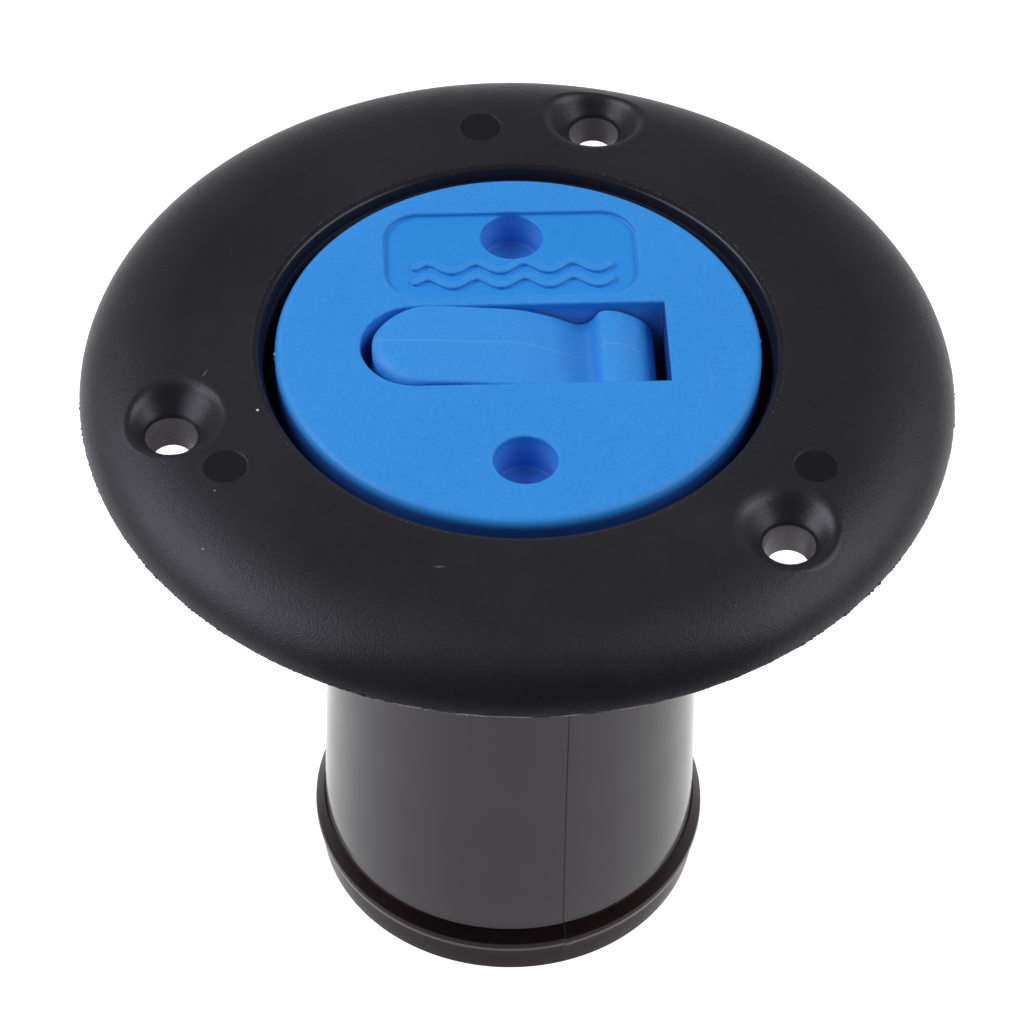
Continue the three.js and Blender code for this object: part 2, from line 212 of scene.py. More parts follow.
def boolean(a, b, operation, mat=0):
    """a with b cut or joined, as a new mesh that keeps the material slots. The faces of b take slot mat."""
    for me in (a, b):
        if not me.materials:
            for m in BLACKS:
                me.materials.append(m)
    b.polygons.foreach_set("material_index", [mat] * len(b.polygons))
    oa, ob = link("tmp_a", a), link("tmp_b", b)
    mod = oa.modifiers.new("cut", "BOOLEAN")
    mod.operation = operation
    mod.solver = "MANIFOLD"
    mod.object = ob
    dg = bpy.context.evaluated_depsgraph_get()
    dg.update()
    out = bpy.data.meshes.new_from_object(oa.evaluated_get(dg))
    n = len(out.polygons)
    if n == 0 or (operation != "UNION" and n == len(a.polygons)):
        mod.solver = "EXACT"
        dg.update()
        out = bpy.data.meshes.new_from_object(oa.evaluated_get(dg))
        print("boolean fell back to exact", n, len(out.polygons))
    bpy.data.objects.remove(oa)
    bpy.data.objects.remove(ob)
    return out


# ------------------------------------------------------------------ distance-field solids
def vlen(*a):
    return np.sqrt(sum(x * x for x in a))


def rmax(a, b, r):
    """Intersection with a rounded outer corner of radius r."""
    return np.minimum(-r, np.maximum(a, b)) + vlen(np.maximum(a + r, 0), np.maximum(b + r, 0))


def rmin(a, b, r):
    """Union with a rounded inner corner of radius r."""
    return np.maximum(r, np.minimum(a, b)) - vlen(np.maximum(r - a, 0), np.maximum(r - b, 0))


def d_segment(x, y, ax, ay, bx, by):
    dx, dy = bx - ax, by - ay
    t = np.clip(((x - ax) * dx + (y - ay) * dy) / (dx * dx + dy * dy), 0, 1)
    return vlen(x - ax - t * dx, y - ay - t * dy)


def d_polygon(x, y, pts):
    """Signed distance to a closed polygon."""
    d = np.full(x.shape, 1e9)
    s = np.zeros(x.shape, bool)
    n = len(pts)
    for i in range(n):
        ax, ay = pts[i]
        bx, by = pts[(i + 1) % n]
        d = np.minimum(d, d_segment(x, y, ax, ay, bx, by))
        if ay != by:
            s ^= ((ay > y) != (by > y)) & (x < (bx - ax) * (y - ay) / (by - ay) + ax)
    return np.where(s, -d, d)


def d_box(x, y, x0, x1, y0, y1, r=0.0):
    qx = np.abs(x - (x0 + x1) / 2) - (x1 - x0) / 2 + r
    qy = np.abs(y - (y0 + y1) / 2) - (y1 - y0) / 2 + r
    return np.minimum(np.maximum(qx, qy), 0) + vlen(np.maximum(qx, 0), np.maximum(qy, 0)) - r


def d_slot(x, y, x0, x1, half, r=0.3):
    """A bar with a full round left end and a nearly square right end."""
    return np.minimum(
        d_box(x, y, x0 + half, x1, -half, half, r),
        np.minimum(vlen(x - x0 - half, y) - half, d_box(x, y, x0 + half, x0 + half + 2, -half, half)),
    )


def d_thread(x, y, z, z0, start, turns, root, crest, base_w, crest_w, fade_r, inward):
    """A helical ridge on a cylinder. inward: the crest is nearer the axis than the root."""
    r = vlen(x, y)
    phi = (np.arctan2(y, x) / (2 * math.pi) - start / 360.0) % 1.0
    best = np.full(x.shape, 9.0)
    for n in range(int(math.ceil(turns)) + 1):
        along = phi + n
        f = np.clip(np.minimum(along, turns - along) * 8, 0, 1)
        f = f * f * (3 - 2 * f)
        top = fade_r + (crest - fade_r) * f
        v = np.abs(z - z0 - along * LEAD)
        u = (root - r) if inward else (r - root)
        h = abs(crest - root)
        hw = base_w / 2 - np.clip(u, -0.5, h) * (base_w - crest_w) / 2 / h
        side = (v - hw) * 0.88
        cap = (top - r) if inward else (r - top)
        d = rmax(side, cap, 0.3)
        d = np.where((along > turns + 0.02), 9.0, d)
        best = np.minimum(best, d)
    return best


def gradient(f, p, e):
    g = np.zeros_like(p)
    for k in ((1, 1, 1), (1, -1, -1), (-1, 1, -1), (-1, -1, 1)):
        k = np.array(k, float)
        g += k * f(p + e * k)[:, None]
    return g / (4 * e)


def unit_gradient(f, p, e):
    g = gradient(f, p, e)
    return g / np.maximum(np.linalg.norm(g, axis=1), 1e-9)[:, None]


def field_mesh(name, f, lo, hi, h, faces=None, mats=None):
    """The surface f = 0 as a mesh of smooth quads: f is evaluated only near the surface."""
    lo, hi = np.array(lo, float), np.array(hi, float)
    B = 8
    nb = np.ceil((hi - lo) / (h * B)).astype(int)
    n = nb * B + 1
    ci = np.stack(np.meshgrid(*[np.arange(k) for k in nb], indexing="ij"), -1).reshape(-1, 3)
    cc = lo + (ci + 0.5) * h * B
    fc = f(cc)
    F = np.zeros(tuple(n), np.float32)
    near = np.abs(fc) < h * B * 0.9 + 0.35
    big = np.repeat(np.repeat(np.repeat(np.sign(fc).reshape(nb), B, 0), B, 1), B, 2)
    F[:-1, :-1, :-1] = big
    F[-1, :, :] = 1
    F[:, -1, :] = 1
    F[:, :, -1] = 1
    o = np.stack(np.meshgrid(*[np.arange(B + 1)] * 3, indexing="ij"), -1).reshape(-1, 3)
    sel = ci[near] * B
    for s in range(0, len(sel), 1500):
        idx = (sel[s:s + 1500, None, :] + o[None]).reshape(-1, 3)
        F[idx[:, 0], idx[:, 1], idx[:, 2]] = f(lo + idx * h)
    ins = F < 0
    c = [F[i:n[0] - 1 + i, j:n[1] - 1 + j, k:n[2] - 1 + k] < 0 for i in (0, 1) for j in (0, 1) for k in (0, 1)]
    cnt = sum(x.astype(np.int8) for x in c)
    act = (cnt > 0) & (cnt < 8)
    cells = np.argwhere(act)
    vid = np.full(act.shape, -1, np.int64)
    vid[act] = np.arange(len(cells))
    corner = np.array([[i, j, k] for i in (0, 1) for j in (0, 1) for k in (0, 1)])
    val = np.stack([F[cells[:, 0] + q[0], cells[:, 1] + q[1], cells[:, 2] + q[2]] for q in corner], 1)
    acc = np.zeros((len(cells), 3))
    cn = np.zeros(len(cells))
    for a in range(8):
        for ax in range(3):
            if corner[a][ax]:
                continue
            q = corner[a].copy()
            q[ax] = 1
            b = q[0] * 4 + q[1] * 2 + q[2]
            va, vb = val[:, a], val[:, b]
            m = (va < 0) != (vb < 0)
            t = np.where(m, va / np.where(m, va - vb, 1), 0)
            pt = corner[a][None] + t[:, None] * (corner[b] - corner[a])[None]
            acc += pt * m[:, None]
            cn += m
    p = lo + (cells + acc / cn[:, None]) * h
    for _ in range(3):
        g = gradient(f, p, h * 0.2)
        g2 = np.maximum((g * g).sum(1), 0.2)
        step = (f(p) / g2)[:, None] * g
        ln = np.linalg.norm(step, axis=1)
        step *= np.minimum(1, 0.4 * h / np.maximum(ln, 1e-9))[:, None]
        p -= step
    quads = []
    for ax in range(3):
        a = [slice(None)] * 3
        b = [slice(None)] * 3
        a[ax] = slice(0, -1)
        b[ax] = slice(1, None)
        A, Bq = ins[tuple(a)], ins[tuple(b)]
        e = np.argwhere(A != Bq)
        u, w = (ax + 1) % 3, (ax + 2) % 3
        e = e[(e[:, u] > 0) & (e[:, w] > 0) & (e[:, u] < n[u] - 1) & (e[:, w] < n[w] - 1)]
        out = A[e[:, 0], e[:, 1], e[:, 2]]
        q = []
        for du, dw in ((-1, -1), (0, -1), (0, 0), (-1, 0)):
            k = e.copy()
            k[:, u] += du
            k[:, w] += dw
            q.append(vid[k[:, 0], k[:, 1], k[:, 2]])
        q = np.stack(q, 1)
        q[~out] = q[~out][:, ::-1]
        quads.append(q)
    quads = np.concatenate(quads)
    quads = quads[(quads >= 0).all(1)]
    me = bpy.data.meshes.new(name)
    me.vertices.add(len(p))
    me.vertices.foreach_set("co", (p * MM).astype(np.float32).ravel())
    me.loops.add(quads.size)
    me.loops.foreach_set("vertex_index", quads.astype(np.int32).ravel())
    me.polygons.add(len(quads))
    me.polygons.foreach_set("loop_start", np.arange(0, quads.size, 4, dtype=np.int32))
    me.update(calc_edges=True)
    me.validate()
    if faces and 2 * len(quads) > faces:
        ob = link("tmp_thin", me)
        mod = ob.modifiers.new("thin", "DECIMATE")
        mod.ratio = faces / (2 * len(quads))
        dg = bpy.context.evaluated_depsgraph_get()
        me2 = bpy.data.meshes.new_from_object(ob.evaluated_get(dg))
        bpy.data.objects.remove(ob)
        me = me2
        me.name = name
    co = np.zeros(len(me.vertices) * 3, np.float32)
    me.vertices.foreach_get("co", co)
    co = co.reshape(-1, 3).astype(float) / MM
    nrm = unit_gradient(f, co, h * 0.3)
    me.polygons.foreach_set("use_smooth", [True] * len(me.polygons))
    me.normals_split_custom_set_from_vertices(nrm.tolist())
    print(f"{name}: {len(quads)} quads, {len(me.polygons)} faces kept")
    return me


# ------------------------------------------------------------------ fill body
def rim_z(r):
    u = np.clip((r - FLAT_R) / (RIM_R - FLAT_R), 0, 1)
    return DECK + RIM_H * np.power(np.maximum(1 - u ** RIM_N, 0), 1 / RIM_N)


def top_height(x, y):
    """Height of the flange's upper surface, with its countersinks and ejector marks."""
    r, a = vlen(x, y), np.arctan2(y, x)
    z = rim_z(r)
    z = z + 0.012 * np.sin(3 * a + 0.6) * smoothstep(27, 31, r) + 0.010 * np.cos(5 * a + r / 4.0)
    for i, deg in enumerate(HOLES):
        cx, cy = HOLE_AT * math.cos(rad(deg)), HOLE_AT * math.sin(rad(deg))
        d = vlen(x - cx, y - cy)
        b = np.arctan2(y - cy, x - cx)
        cone = (69.9, 70.1, 70.45)[i] + (d - THROAT_R) * (1.15, 1.08, 0.96)[i] + 0.015 * np.sin(2 * b + i)
        k = (0.75, 0.58 + 0.24 * np.cos(b - rad(deg) + 0.5), 0.85)[i]
        h = np.clip(0.5 + 0.5 * (cone - z) / k, 0, 1)
        z = cone * (1 - h) + z * h - k * h * (1 - h)
        # the cone rolls over into the straight hole
        z = z - 0.16 * np.clip(1 - (d - THROAT_R) / 0.2, 0, 1) ** 2
    for i, (mr, deg) in enumerate(MARKS):
        cx, cy = mr * math.cos(rad(deg)), mr * math.sin(rad(deg))
        d = vlen(x - cx, y - cy)
        b = np.arctan2(y - cy, x - cx)
        z = z - 0.07 * (1 - smoothstep(2.02, 2.14, d))
        lip = 0.035 * (0.55 + 0.45 * np.cos(b - 0.9 - i)) * np.exp(-((d - 2.24) / 0.09) ** 2)
        z = z + lip
    return z


def body_mesh():
    b = Builder()
    base = np.arange(480) * 0.75
    extra = []
    for s in SEAMS:
        extra += [s % 360 + k for k in (-0.34, -0.22, -0.14, -0.07, 0, 0.07, 0.14, 0.22, 0.34)]
    deg = np.array(sorted(set(np.round(np.concatenate([base, extra]) % 360, 4))))
    t = deg * math.pi / 180
    ct, st = np.cos(t), np.sin(t)

    def ring(r, z):
        r = np.broadcast_to(r, t.shape)
        z = np.broadcast_to(z, t.shape)
        return b.verts(np.stack([r * ct, r * st, z], 1))

    # parting line down the outside of the tail: a fine ridge with a small step beside it
    line = np.zeros_like(t)
    shelf = np.zeros_like(t)
    for s in SEAMS:
        d = (deg - s + 180) % 360 - 180
        line += 0.055 * np.exp(-(d / 0.11) ** 2)
        shelf += np.where(d > 0, 0.045 * np.exp(-d / 3.5), 0)

    GRAIN, SMOOTH, GLOSS, TUBE, MARK, FOOT, BORE, HOLE = range(8)
    # outside: from the foot of the tail up to the flange
    outer = rounded([(16.9, 0, 0), (20.1, 0, 0.12), (20.06, 3.5, 0.05), (20.62, 3.56, 0.12), (20.76, 4.2, 0.3),
                     (20.72, 4.82, 0.3), (19.84, 6.14, 0.2), (19.72, 6.18, 0.05), (19.70, 6.9, 0.3), (19.68, 9.0, 0), (19.48, 15.0, 0),
                     (19.24, 24.0, 0), (19.15, 34.0, 0), (19.15, 42.5, 3.0), (25.0, 51.5, 2.0),
                     (25.0, 59.5, 0.8), (27.0, 61.0, 0.6), (27.0, DECK, 0.5), (27.9, DECK, 0)], 5, 2.4)
    rings = []
    for r, z in outer:
        k = 1.0 if 0.2 < z < 60 else 0.0
        wob = 0.012 * np.sin(2 * t + 1.0 + z / 20)
        onbead = float(3.45 < z < 6.16)
        rr = r + k * (line * (0.6 + 0.9 * onbead) + shelf * (1 + 2.2 * onbead) + wob - 0.012)
        rr = np.minimum(rr, 20.86) if z < 8 else rr
        rings.append((ring(rr, z), r, z))
    for (p, r0, z0), (q, r1, z1) in zip(rings, rings[1:]):
        b.bridge(p, q, FOOT if max(z0, z1) < 6.25 else (TUBE if max(z0, z1) < 60 else SMOOTH))
    under_in = rings[-1][0]

    # the rim, from its sharp lower edge up to r = 40.6
    t0 = math.asin(((rim_z(np.array([40.6]))[0] - DECK) / RIM_H) ** (RIM_N / 2))
    ts = np.linspace(0, t0, 17)
    prof = [(FLAT_R + (RIM_R - FLAT_R) * math.cos(a) ** (2 / RIM_N), DECK + RIM_H * math.sin(a) ** (2 / RIM_N)) for a in ts]
    edge = np.clip(0.016 * harmonics(t, 11, 50, 170) + 0.006 * harmonics(t, 12, 5, 14), -0.05, 0.05)
    last = None
    low = ring(RIM_R - 0.08 + edge * 0.6, DECK)
    under_out = ring(RIM_R - 0.45, DECK)
    b.bridge(under_out, low, SMOOTH)
    last = low
    for i, (r, z) in enumerate(prof[1:]):
        w = math.exp(-i / 1.5)
        q = ring(r + np.minimum(edge * w, 0.07), z)
        b.bridge(last, q, GRAIN)
        last = q
    rim_top = last

    # upper surface between r = 26.6 and 40.6, finer round the holes and marks
    R0, R1 = 26.6, prof[-1][0]
    centres = [(HOLE_AT * math.cos(rad(a)), HOLE_AT * math.sin(rad(a)), 6.0) for a in HOLES]
    centres += [(m * math.cos(rad(a)), m * math.sin(rad(a)), 2.75) for m, a in MARKS]
    pts = [np.stack([R1 * ct, R1 * st], 1), np.stack([R0 * ct, R0 * st], 1)]
    nt = len(t)
    edges = [(i, (i + 1) % nt) for i in range(nt)] + [(nt + i, nt + (i + 1) % nt) for i in range(nt)]
    radii = np.concatenate([np.arange(R0 + 0.45, FLAT_R, 0.5), np.arange(FLAT_R, R1 - 0.25, 0.4)])
    for k, r in enumerate(radii):
        tt = (base[::2] if r < FLAT_R else base) * math.pi / 180 + (0.0065 * (k % 2))
        p = np.stack([r * np.cos(tt), r * np.sin(tt)], 1)
        keep = np.ones(len(p), bool)
        for cx, cy, cr in centres:
            keep &= np.hypot(p[:, 0] - cx, p[:, 1] - cy) > cr + 0.22
        pts.append(p[keep])
    count = sum(len(p) for p in pts)
    hole_first = []
    NH = 96
    for a in range(3):
        cx, cy, cr = centres[a]
        for j, d in enumerate([THROAT_R, 2.54, 2.58, 2.63, 2.69, 2.8, 3.0, 3.3, 3.6, 3.8, 3.98, 4.1, 4.2, 4.3, 4.4, 4.5,
                               4.6, 4.7, 4.8, 4.9, 5.0, 5.12, 5.25, 5.5, 6.0]):
            ang = np.arange(NH) * 2 * math.pi / NH + (0.5 * (j % 2)) * 2 * math.pi / NH
            pts.append(np.stack([cx + d * np.cos(ang), cy + d * np.sin(ang)], 1))
            if j == 0:
                hole_first.append(count)
                edges += [(count + i, count + (i + 1) % NH) for i in range(NH)]
            count += NH
    for a in range(3, 6):
        cx, cy, cr = centres[a]
        for j, d in enumerate([0.001, 0.7, 1.4, 1.85, 2.0, 2.05, 2.1, 2.16, 2.22, 2.28, 2.36, 2.5, 2.75]):
            m = 1 if j == 0 else (16 if j < 3 else 60)
            ang = np.arange(m) * 2 * math.pi / m + (0.5 * (j % 2)) * 2 * math.pi / m
            pts.append(np.stack([cx + d * np.cos(ang), cy + d * np.sin(ang)], 1))
            count += m
    P = np.concatenate(pts)
    out = geometry.delaunay_2d_cdt([Vector(p) for p in P], edges, [], 0, 1e-6, False)
    Q = np.array([v[:] for v in out[0]])
    tris = np.array(out[2])
    cen = Q[tris].mean(1)
    rad_c = np.hypot(cen[:, 0], cen[:, 1])
    keep = rad_c > R0 + 0.02
    for cx, cy, _ in centres[:3]:
        keep &= np.hypot(cen[:, 0] - cx, cen[:, 1] - cy) > THROAT_R
    tris, cen = tris[keep], cen[keep]
    Z = top_height(Q[:, 0], Q[:, 1])
    rq = np.hypot(Q[:, 0], Q[:, 1])
    Z[np.abs(rq - R1) < 1e-4] = prof[-1][1]
    Z[np.abs(rq - R0) < 1e-4] = TOP
    ids = b.verts(np.stack([Q[:, 0], Q[:, 1], Z], 1))
    d_hole = np.min([np.hypot(cen[:, 0] - cx, cen[:, 1] - cy) for cx, cy, _ in centres[:3]], 0)
    d_mark = np.min([np.hypot(cen[:, 0] - cx, cen[:, 1] - cy) for cx, cy, _ in centres[3:]], 0)
    mats = np.where(d_mark < 2.08, MARK, np.where(d_hole < 4.75, SMOOTH, GRAIN))
    for tr, m in zip(tris, mats):
        b.tri(ids[tr[0]], ids[tr[1]], ids[tr[2]], int(m))

    # straight screw holes down to the underside
    hole_low = []
    for a in range(3):
        cx, cy, _ = centres[a]
        ang = np.arange(NH) * 2 * math.pi / NH
        ztop = top_height(cx + THROAT_R * np.cos(ang), cy + THROAT_R * np.sin(ang))
        prev = b.verts(np.stack([cx + THROAT_R * np.cos(ang), cy + THROAT_R * np.sin(ang), ztop], 1))
        er, es = EXITS[a]
        for f in (0.1, 0.3, 0.5, 0.7, 0.85, 0.95, 1.0):
            r, z, sh = THROAT_R + (er - THROAT_R) * f, ztop + (DECK - ztop) * f, es * f * f
            q = b.verts(np.stack([cx + r * np.cos(ang), cy - sh + r * np.sin(ang), z], 1))
            b.bridge(prev, q, HOLE)
            prev = q
        hole_low.append((cx, cy - es, er))

    # underside, round the neck and out to the rim
    PU = [np.stack([(RIM_R - 0.45) * ct, (RIM_R - 0.45) * st], 1), np.stack([27.9 * ct, 27.9 * st], 1)]
    eu = [(i, (i + 1) % nt) for i in range(nt)] + [(nt + i, nt + (i + 1) % nt) for i in range(nt)]
    cu = 2 * nt
    for cx, cy, er in hole_low:
        ang = np.arange(NH) * 2 * math.pi / NH
        PU.append(np.stack([cx + er * np.cos(ang), cy + er * np.sin(ang)], 1))
        eu += [(cu + i, cu + (i + 1) % NH) for i in range(NH)]
        cu += NH
    for r in (30.5, 33.0, 36.0, 39.0):
        p = np.stack([r * ct[::4], r * st[::4]], 1)
        k = np.ones(len(p), bool)
        for cx, cy, er in hole_low:
            k &= np.hypot(p[:, 0] - cx, p[:, 1] - cy) > 3.4
        PU.append(p[k])
    PU = np.concatenate(PU)
    out = geometry.delaunay_2d_cdt([Vector(p) for p in PU], eu, [], 0, 1e-6, False)
    Q = np.array([v[:] for v in out[0]])
    tris = np.array(out[2])
    cen = Q[tris].mean(1)
    keep = np.hypot(cen[:, 0], cen[:, 1]) > 27.92
    for cx, cy, er in hole_low:
        keep &= np.hypot(cen[:, 0] - cx, cen[:, 1] - cy) > er
    ids = b.verts(np.stack([Q[:, 0], Q[:, 1], np.full(len(Q), DECK)], 1))
    for tr in tris[keep]:
        b.tri(ids[tr[0]], ids[tr[1]], ids[tr[2]], SMOOTH)

    # bore: lip, wall, seal seat, thread wall, funnel, tail bore
    inner = rounded([(R0, TOP, 0), (25.62, TOP, 0), (25.05, TOP - 0.2, 0.5), (24.62, TOP - 1.15, 0.75), (24.55, 66.0, 0.3),
                     (22.0, 63.3, 0.3), (21.9, 63.0, 0.1),
                     (21.9, 52.6, 0.5), (20.9, 52.0, 0.5), (16.62, 43.0, 3.0), (16.55, 0.0, 0.35), (16.9, 0.0, 0)], 7, 2.6)
    rag = 0.02 * np.clip(harmonics(t, 21, 30, 160), -1.5, 2)
    last = None
    for i, (r, z) in enumerate(inner):
        if i == 0:
            q = ring(R0, TOP)
        else:
            w = math.exp(-((r - 25.62) / 0.1) ** 2) if z > 72.5 else 0
            dr = 0.02 * np.sin(2 * t + 0.4) if 60 < z < TOP else 0
            dz = w * rag
            q = ring(r + dr + w * rag, z + dz * 0.3)
        if last is not None:
            b.bridge(last, q, GRAIN if r > 25.6 else (GLOSS if z > 71.6 else (BORE if z > 63 else TUBE)))
        last = q
    me = b.mesh("fill_body")
    return me


def thread_bar(name, z0, start, turns, root, crest, base_w, crest_w, fade_r):
    """The helical ridge as a closed bar with rounded crest and faded ends."""
    n = int(turns * 144)
    b = Builder()
    sec = rounded([(0, -base_w / 2, 0), (1, -crest_w / 2, 0.22), (1, crest_w / 2, 0.22), (0, base_w / 2, 0)], 4)
    rows = []
    for i in range(n + 1):
        along = turns * i / n
        f = min(1, min(along, turns - along) * 8)
        f = f * f * (3 - 2 * f)
        top = fade_r + (crest - fade_r) * f
        a = rad(start) + along * 2 * math.pi
        r = root + (top - root) * sec[:, 0]
        rows.append(b.verts(np.stack([r * math.cos(a), r * math.sin(a), z0 + along * LEAD + sec[:, 1]], 1)))
    for p, q in zip(rows, rows[1:]):
        b.bridge(p, q, 3)
    for row in (rows[0], rows[-1]):
        b.fan(row, np.concatenate(b.v)[row].mean(0), 3)
    return b.mesh(name)


def recess_cutter():
    """The cored ring under the flange: twelve pockets between ribs, round three bosses."""
    def f(p):
        x, y, z = p[:, 0], p[:, 1], p[:, 2]
        r = vlen(x, y)
        ceiling = DECK + 2.4 - 0.34 * np.maximum(r - 36.8, 0)
        d = rmax(np.maximum(28.8 - r, r - 39.6), z - ceiling, 0.4)
        d = np.maximum(d, DECK - 0.6 - z)
        a = np.arctan2(y, x)
        k = np.round(a / (math.pi / 6)) * (math.pi / 6)
        rib = np.abs(-x * np.sin(k) + y * np.cos(k)) - 0.8
        d = rmax(d, -rib, 0.4)
        for deg in HOLES:
            cx, cy = HOLE_AT * math.cos(rad(deg)), HOLE_AT * math.sin(rad(deg))
            d = rmax(d, -(vlen(x - cx, y - cy) - 5.6), 0.4)
        return d
    return f


def eye_field(p):
    x, y, z = p[:, 0], p[:, 1], p[:, 2]
    d = d_box(x, z, 14.9, 20.4, 45.6, 51.4, 0.9)
    d = rmax(d, np.abs(y) - 1.4, 0.35)
    return rmax(d, -(vlen(x - 16.9, z - 49.0) - 1.3), 0.3)


# ------------------------------------------------------------------ cap
PANEL = (-12.6, 12.25, 6.75, 18.42, 3.5)
WAVES = []
for row, yc in enumerate((11.05, 9.0)):
    xs = np.linspace(-9.6, 9.4, 41)
    WAVES.append(np.stack([xs, yc + 0.62 * np.sin((xs + 9.6) / 4.75 * 2 * math.pi + 0.0)], 1))


def d_waves(x, y):
    d = np.full(x.shape, 9.0)
    m = (y > 7.0) & (y < 13.2) & (np.abs(x) < 11.5)
    if m.any():
        xm, ym = x[m], y[m]
        dm = np.full(xm.shape, 9.0)
        for w in WAVES:
            for (ax, ay), (bx, by) in zip(w[:-1], w[1:]):
                dm = np.minimum(dm, d_segment(xm, ym, ax, ay, bx, by))
        d[m] = dm - 0.47
    return d


def cap_field(p):
    x, y, z = p[:, 0], p[:, 1], p[:, 2]
    r = vlen(x, y)
    top = CAP_TOP + 0.010 * np.sin(x / 7.0 + 0.5) * np.cos(y / 6.0)
    head = rmax(rmax(r - HEAD_R, z - top, 0.85), 66.47 - z, 0.3)
    neck = np.maximum(r - 20.6, np.maximum(63.6 - z, z - 67.5))
    plug = rmax(r - 19.9, np.maximum(54.0 - z, z - 66.0), 0.4)
    d = rmin(rmin(plug, neck, 0.3), head, 0.3)
    low = z < 65
    if low.any():
        t = np.full(x.shape, 9.0)
        t[low] = d_thread(x[low], y[low], z[low], 56.2, 252.0, 0.95, 19.7, 21.4, 3.5, 1.7, 19.5, False)
        d = rmin(d, t, 0.4)
    # two nibs of flash where the mould halves met
    for a, zn, rn in ((180.5, 72.35, 0.17), (181.2, 71.95, 0.13), (0.8, 72.3, 0.15), (359.6, 71.7, 0.12)):
        d = np.minimum(d, vlen(x - 23.42 * math.cos(rad(a)), y - 23.42 * math.sin(rad(a)), z - zn) - rn)
    # hollow of the plug, less the pocket's walls and the bosses
    walls = np.maximum(d_slot(x, y, -17.1, 16.45, 7.37, 0.8), 64.3 - z)
    walls = np.minimum(walls, np.maximum(d_box(x, y, 0.0, 16.45, -7.37, 7.37, 0.8), 61.4 - z))
    walls = np.minimum(walls, np.maximum(d_box(x, y, 5.35, 12.15, -9.6, 9.6, 0.5), 64.77 - z))
    walls = rmin(walls, np.maximum(vlen(x, y - 15.4) - 5.0, 66.77 - z), 0.4)
    walls = rmin(walls, np.maximum(vlen(x, y + 15.4) - 5.0, 66.77 - z), 0.4)
    walls = rmin(walls, np.maximum(r - 4.0, 59.4 - z), 0.5)
    hollow = rmax(rmax(r - 17.2, z - 70.2, 0.6), -walls, 0.5)
    d = rmax(d, -hollow, 0.3)
    # lever pocket
    slot = d_slot(x, y, -15.22, 14.45, 5.37, 0.08)
    pocket = rmax(slot, 66.3 - z, 0.4)
    deep = rmax(rmax(slot, 2.0 - x, 0.3), 63.4 - z, 0.4)
    d = rmax(d, -np.minimum(pocket, deep), 0.12)
    # label panel and its raised waves
    floor = CAP_TOP - 0.5
    pan = rmax(d_box(x, y, *PANEL), floor - z, 0.2)
    d = rmax(d, -pan, 0.22)
    upper = z > 71.8
    if upper.any():
        w = np.full(x.shape, 9.0)
        dw = d_waves(x[upper], y[upper])
        w[upper] = rmax(dw, z[upper] - (floor + 0.4), 0.16)
        near = upper & (np.abs(x) < 12) & (y > 6) & (y < 14)
        d = np.where(near, rmin(d, w, 0.1), d)
    # key holes
    for cy, zt in ((15.4, floor), (-15.4, CAP_TOP)):
        h = vlen(x, y - cy) - 3.02 - 0.03 * (z - 68.8) / 4
        d = rmax(d, -rmax(h, 68.77 - z, 0.25), 0.2)
    # pin bore and pilot hole
    d = rmax(d, -np.maximum(vlen(x - PIVOT[0], z - PIVOT[1]) - 1.5, -9.3 - y), 0.1)
    d = rmax(d, -np.maximum(r - 1.75, z - 64.6), 0.15)
    return d


# ------------------------------------------------------------------ lever
def spline(pts, per=6):
    pts = np.array(pts, float)
    ext = np.vstack([2 * pts[0] - pts[1], pts, 2 * pts[-1] - pts[-2]])
    out = []
    for i in range(1, len(ext) - 2):
        p0, p1, p2, p3 = ext[i - 1:i + 3]
        for k in range(per):
            s = k / per
            out.append(0.5 * ((2 * p1) + (p2 - p0) * s + (2 * p0 - 5 * p1 + 4 * p2 - p3) * s * s
                              + (3 * p1 - p0 - 3 * p2 + p3) * s ** 3))
    out.append(pts[-1])
    return np.array(out)


LEVER_TOP = [(-14.8, 0.45), (-11.5, 0.42), (-9.1, 0.37), (-6.15, 0.23), (-3.6, 0.0), (-1.5, -0.19), (0.2, -0.42),
             (1.9, -0.87), (3.6, -1.45), (4.85, -2.05), (5.6, -2.42), (6.3, -2.54), (6.95, -2.36), (7.45, -1.85),
             (7.8, -1.25), (8.1, -0.9), (8.6, -0.72)]
prof = spline([(x, CAP_TOP + z) for x, z in LEVER_TOP], 3)
arc = []
for a in range(82, -151, -4):
    r = 4.08 + 0.62 * float(smoothstep(62, 12, a)) - 0.42 * float(smoothstep(-40, -130, a))
    arc.append((PIVOT[0] + r * math.cos(rad(a)), PIVOT[1] + r * math.sin(rad(a))))
LEVER_SIDE = [(-14.8, 66.8)] + [tuple(q) for q in prof] + arc + [(PIVOT[0] - 4.6, 66.8)]


def lever_field(p):
    x, y, z = p[:, 0], p[:, 1], p[:, 2]
    side = d_polygon(x, z, LEVER_SIDE)
    plan = d_slot(x, y, -14.3, 20.0, 5.2, 0.2)
    f = 0.34 + 1.1 * (1 - smoothstep(-13.2, -8.0, x))
    d = rmax(side, plan, np.where(z < 69.5, 0.3, f))
    core = rmax(d_slot(x, y, -12.0, 3.0, 3.2, 0.8), z - (CAP_TOP - 2.4), 0.6)
    rib = np.abs(x + 4.5) - 0.6
    core = rmax(core, -np.maximum(rib, z - 80), 0.3)
    d = rmax(d, -core, 0.3)
    return rmax(d, -(vlen(x - PIVOT[0], z - PIVOT[1]) - 1.5), 0.15)


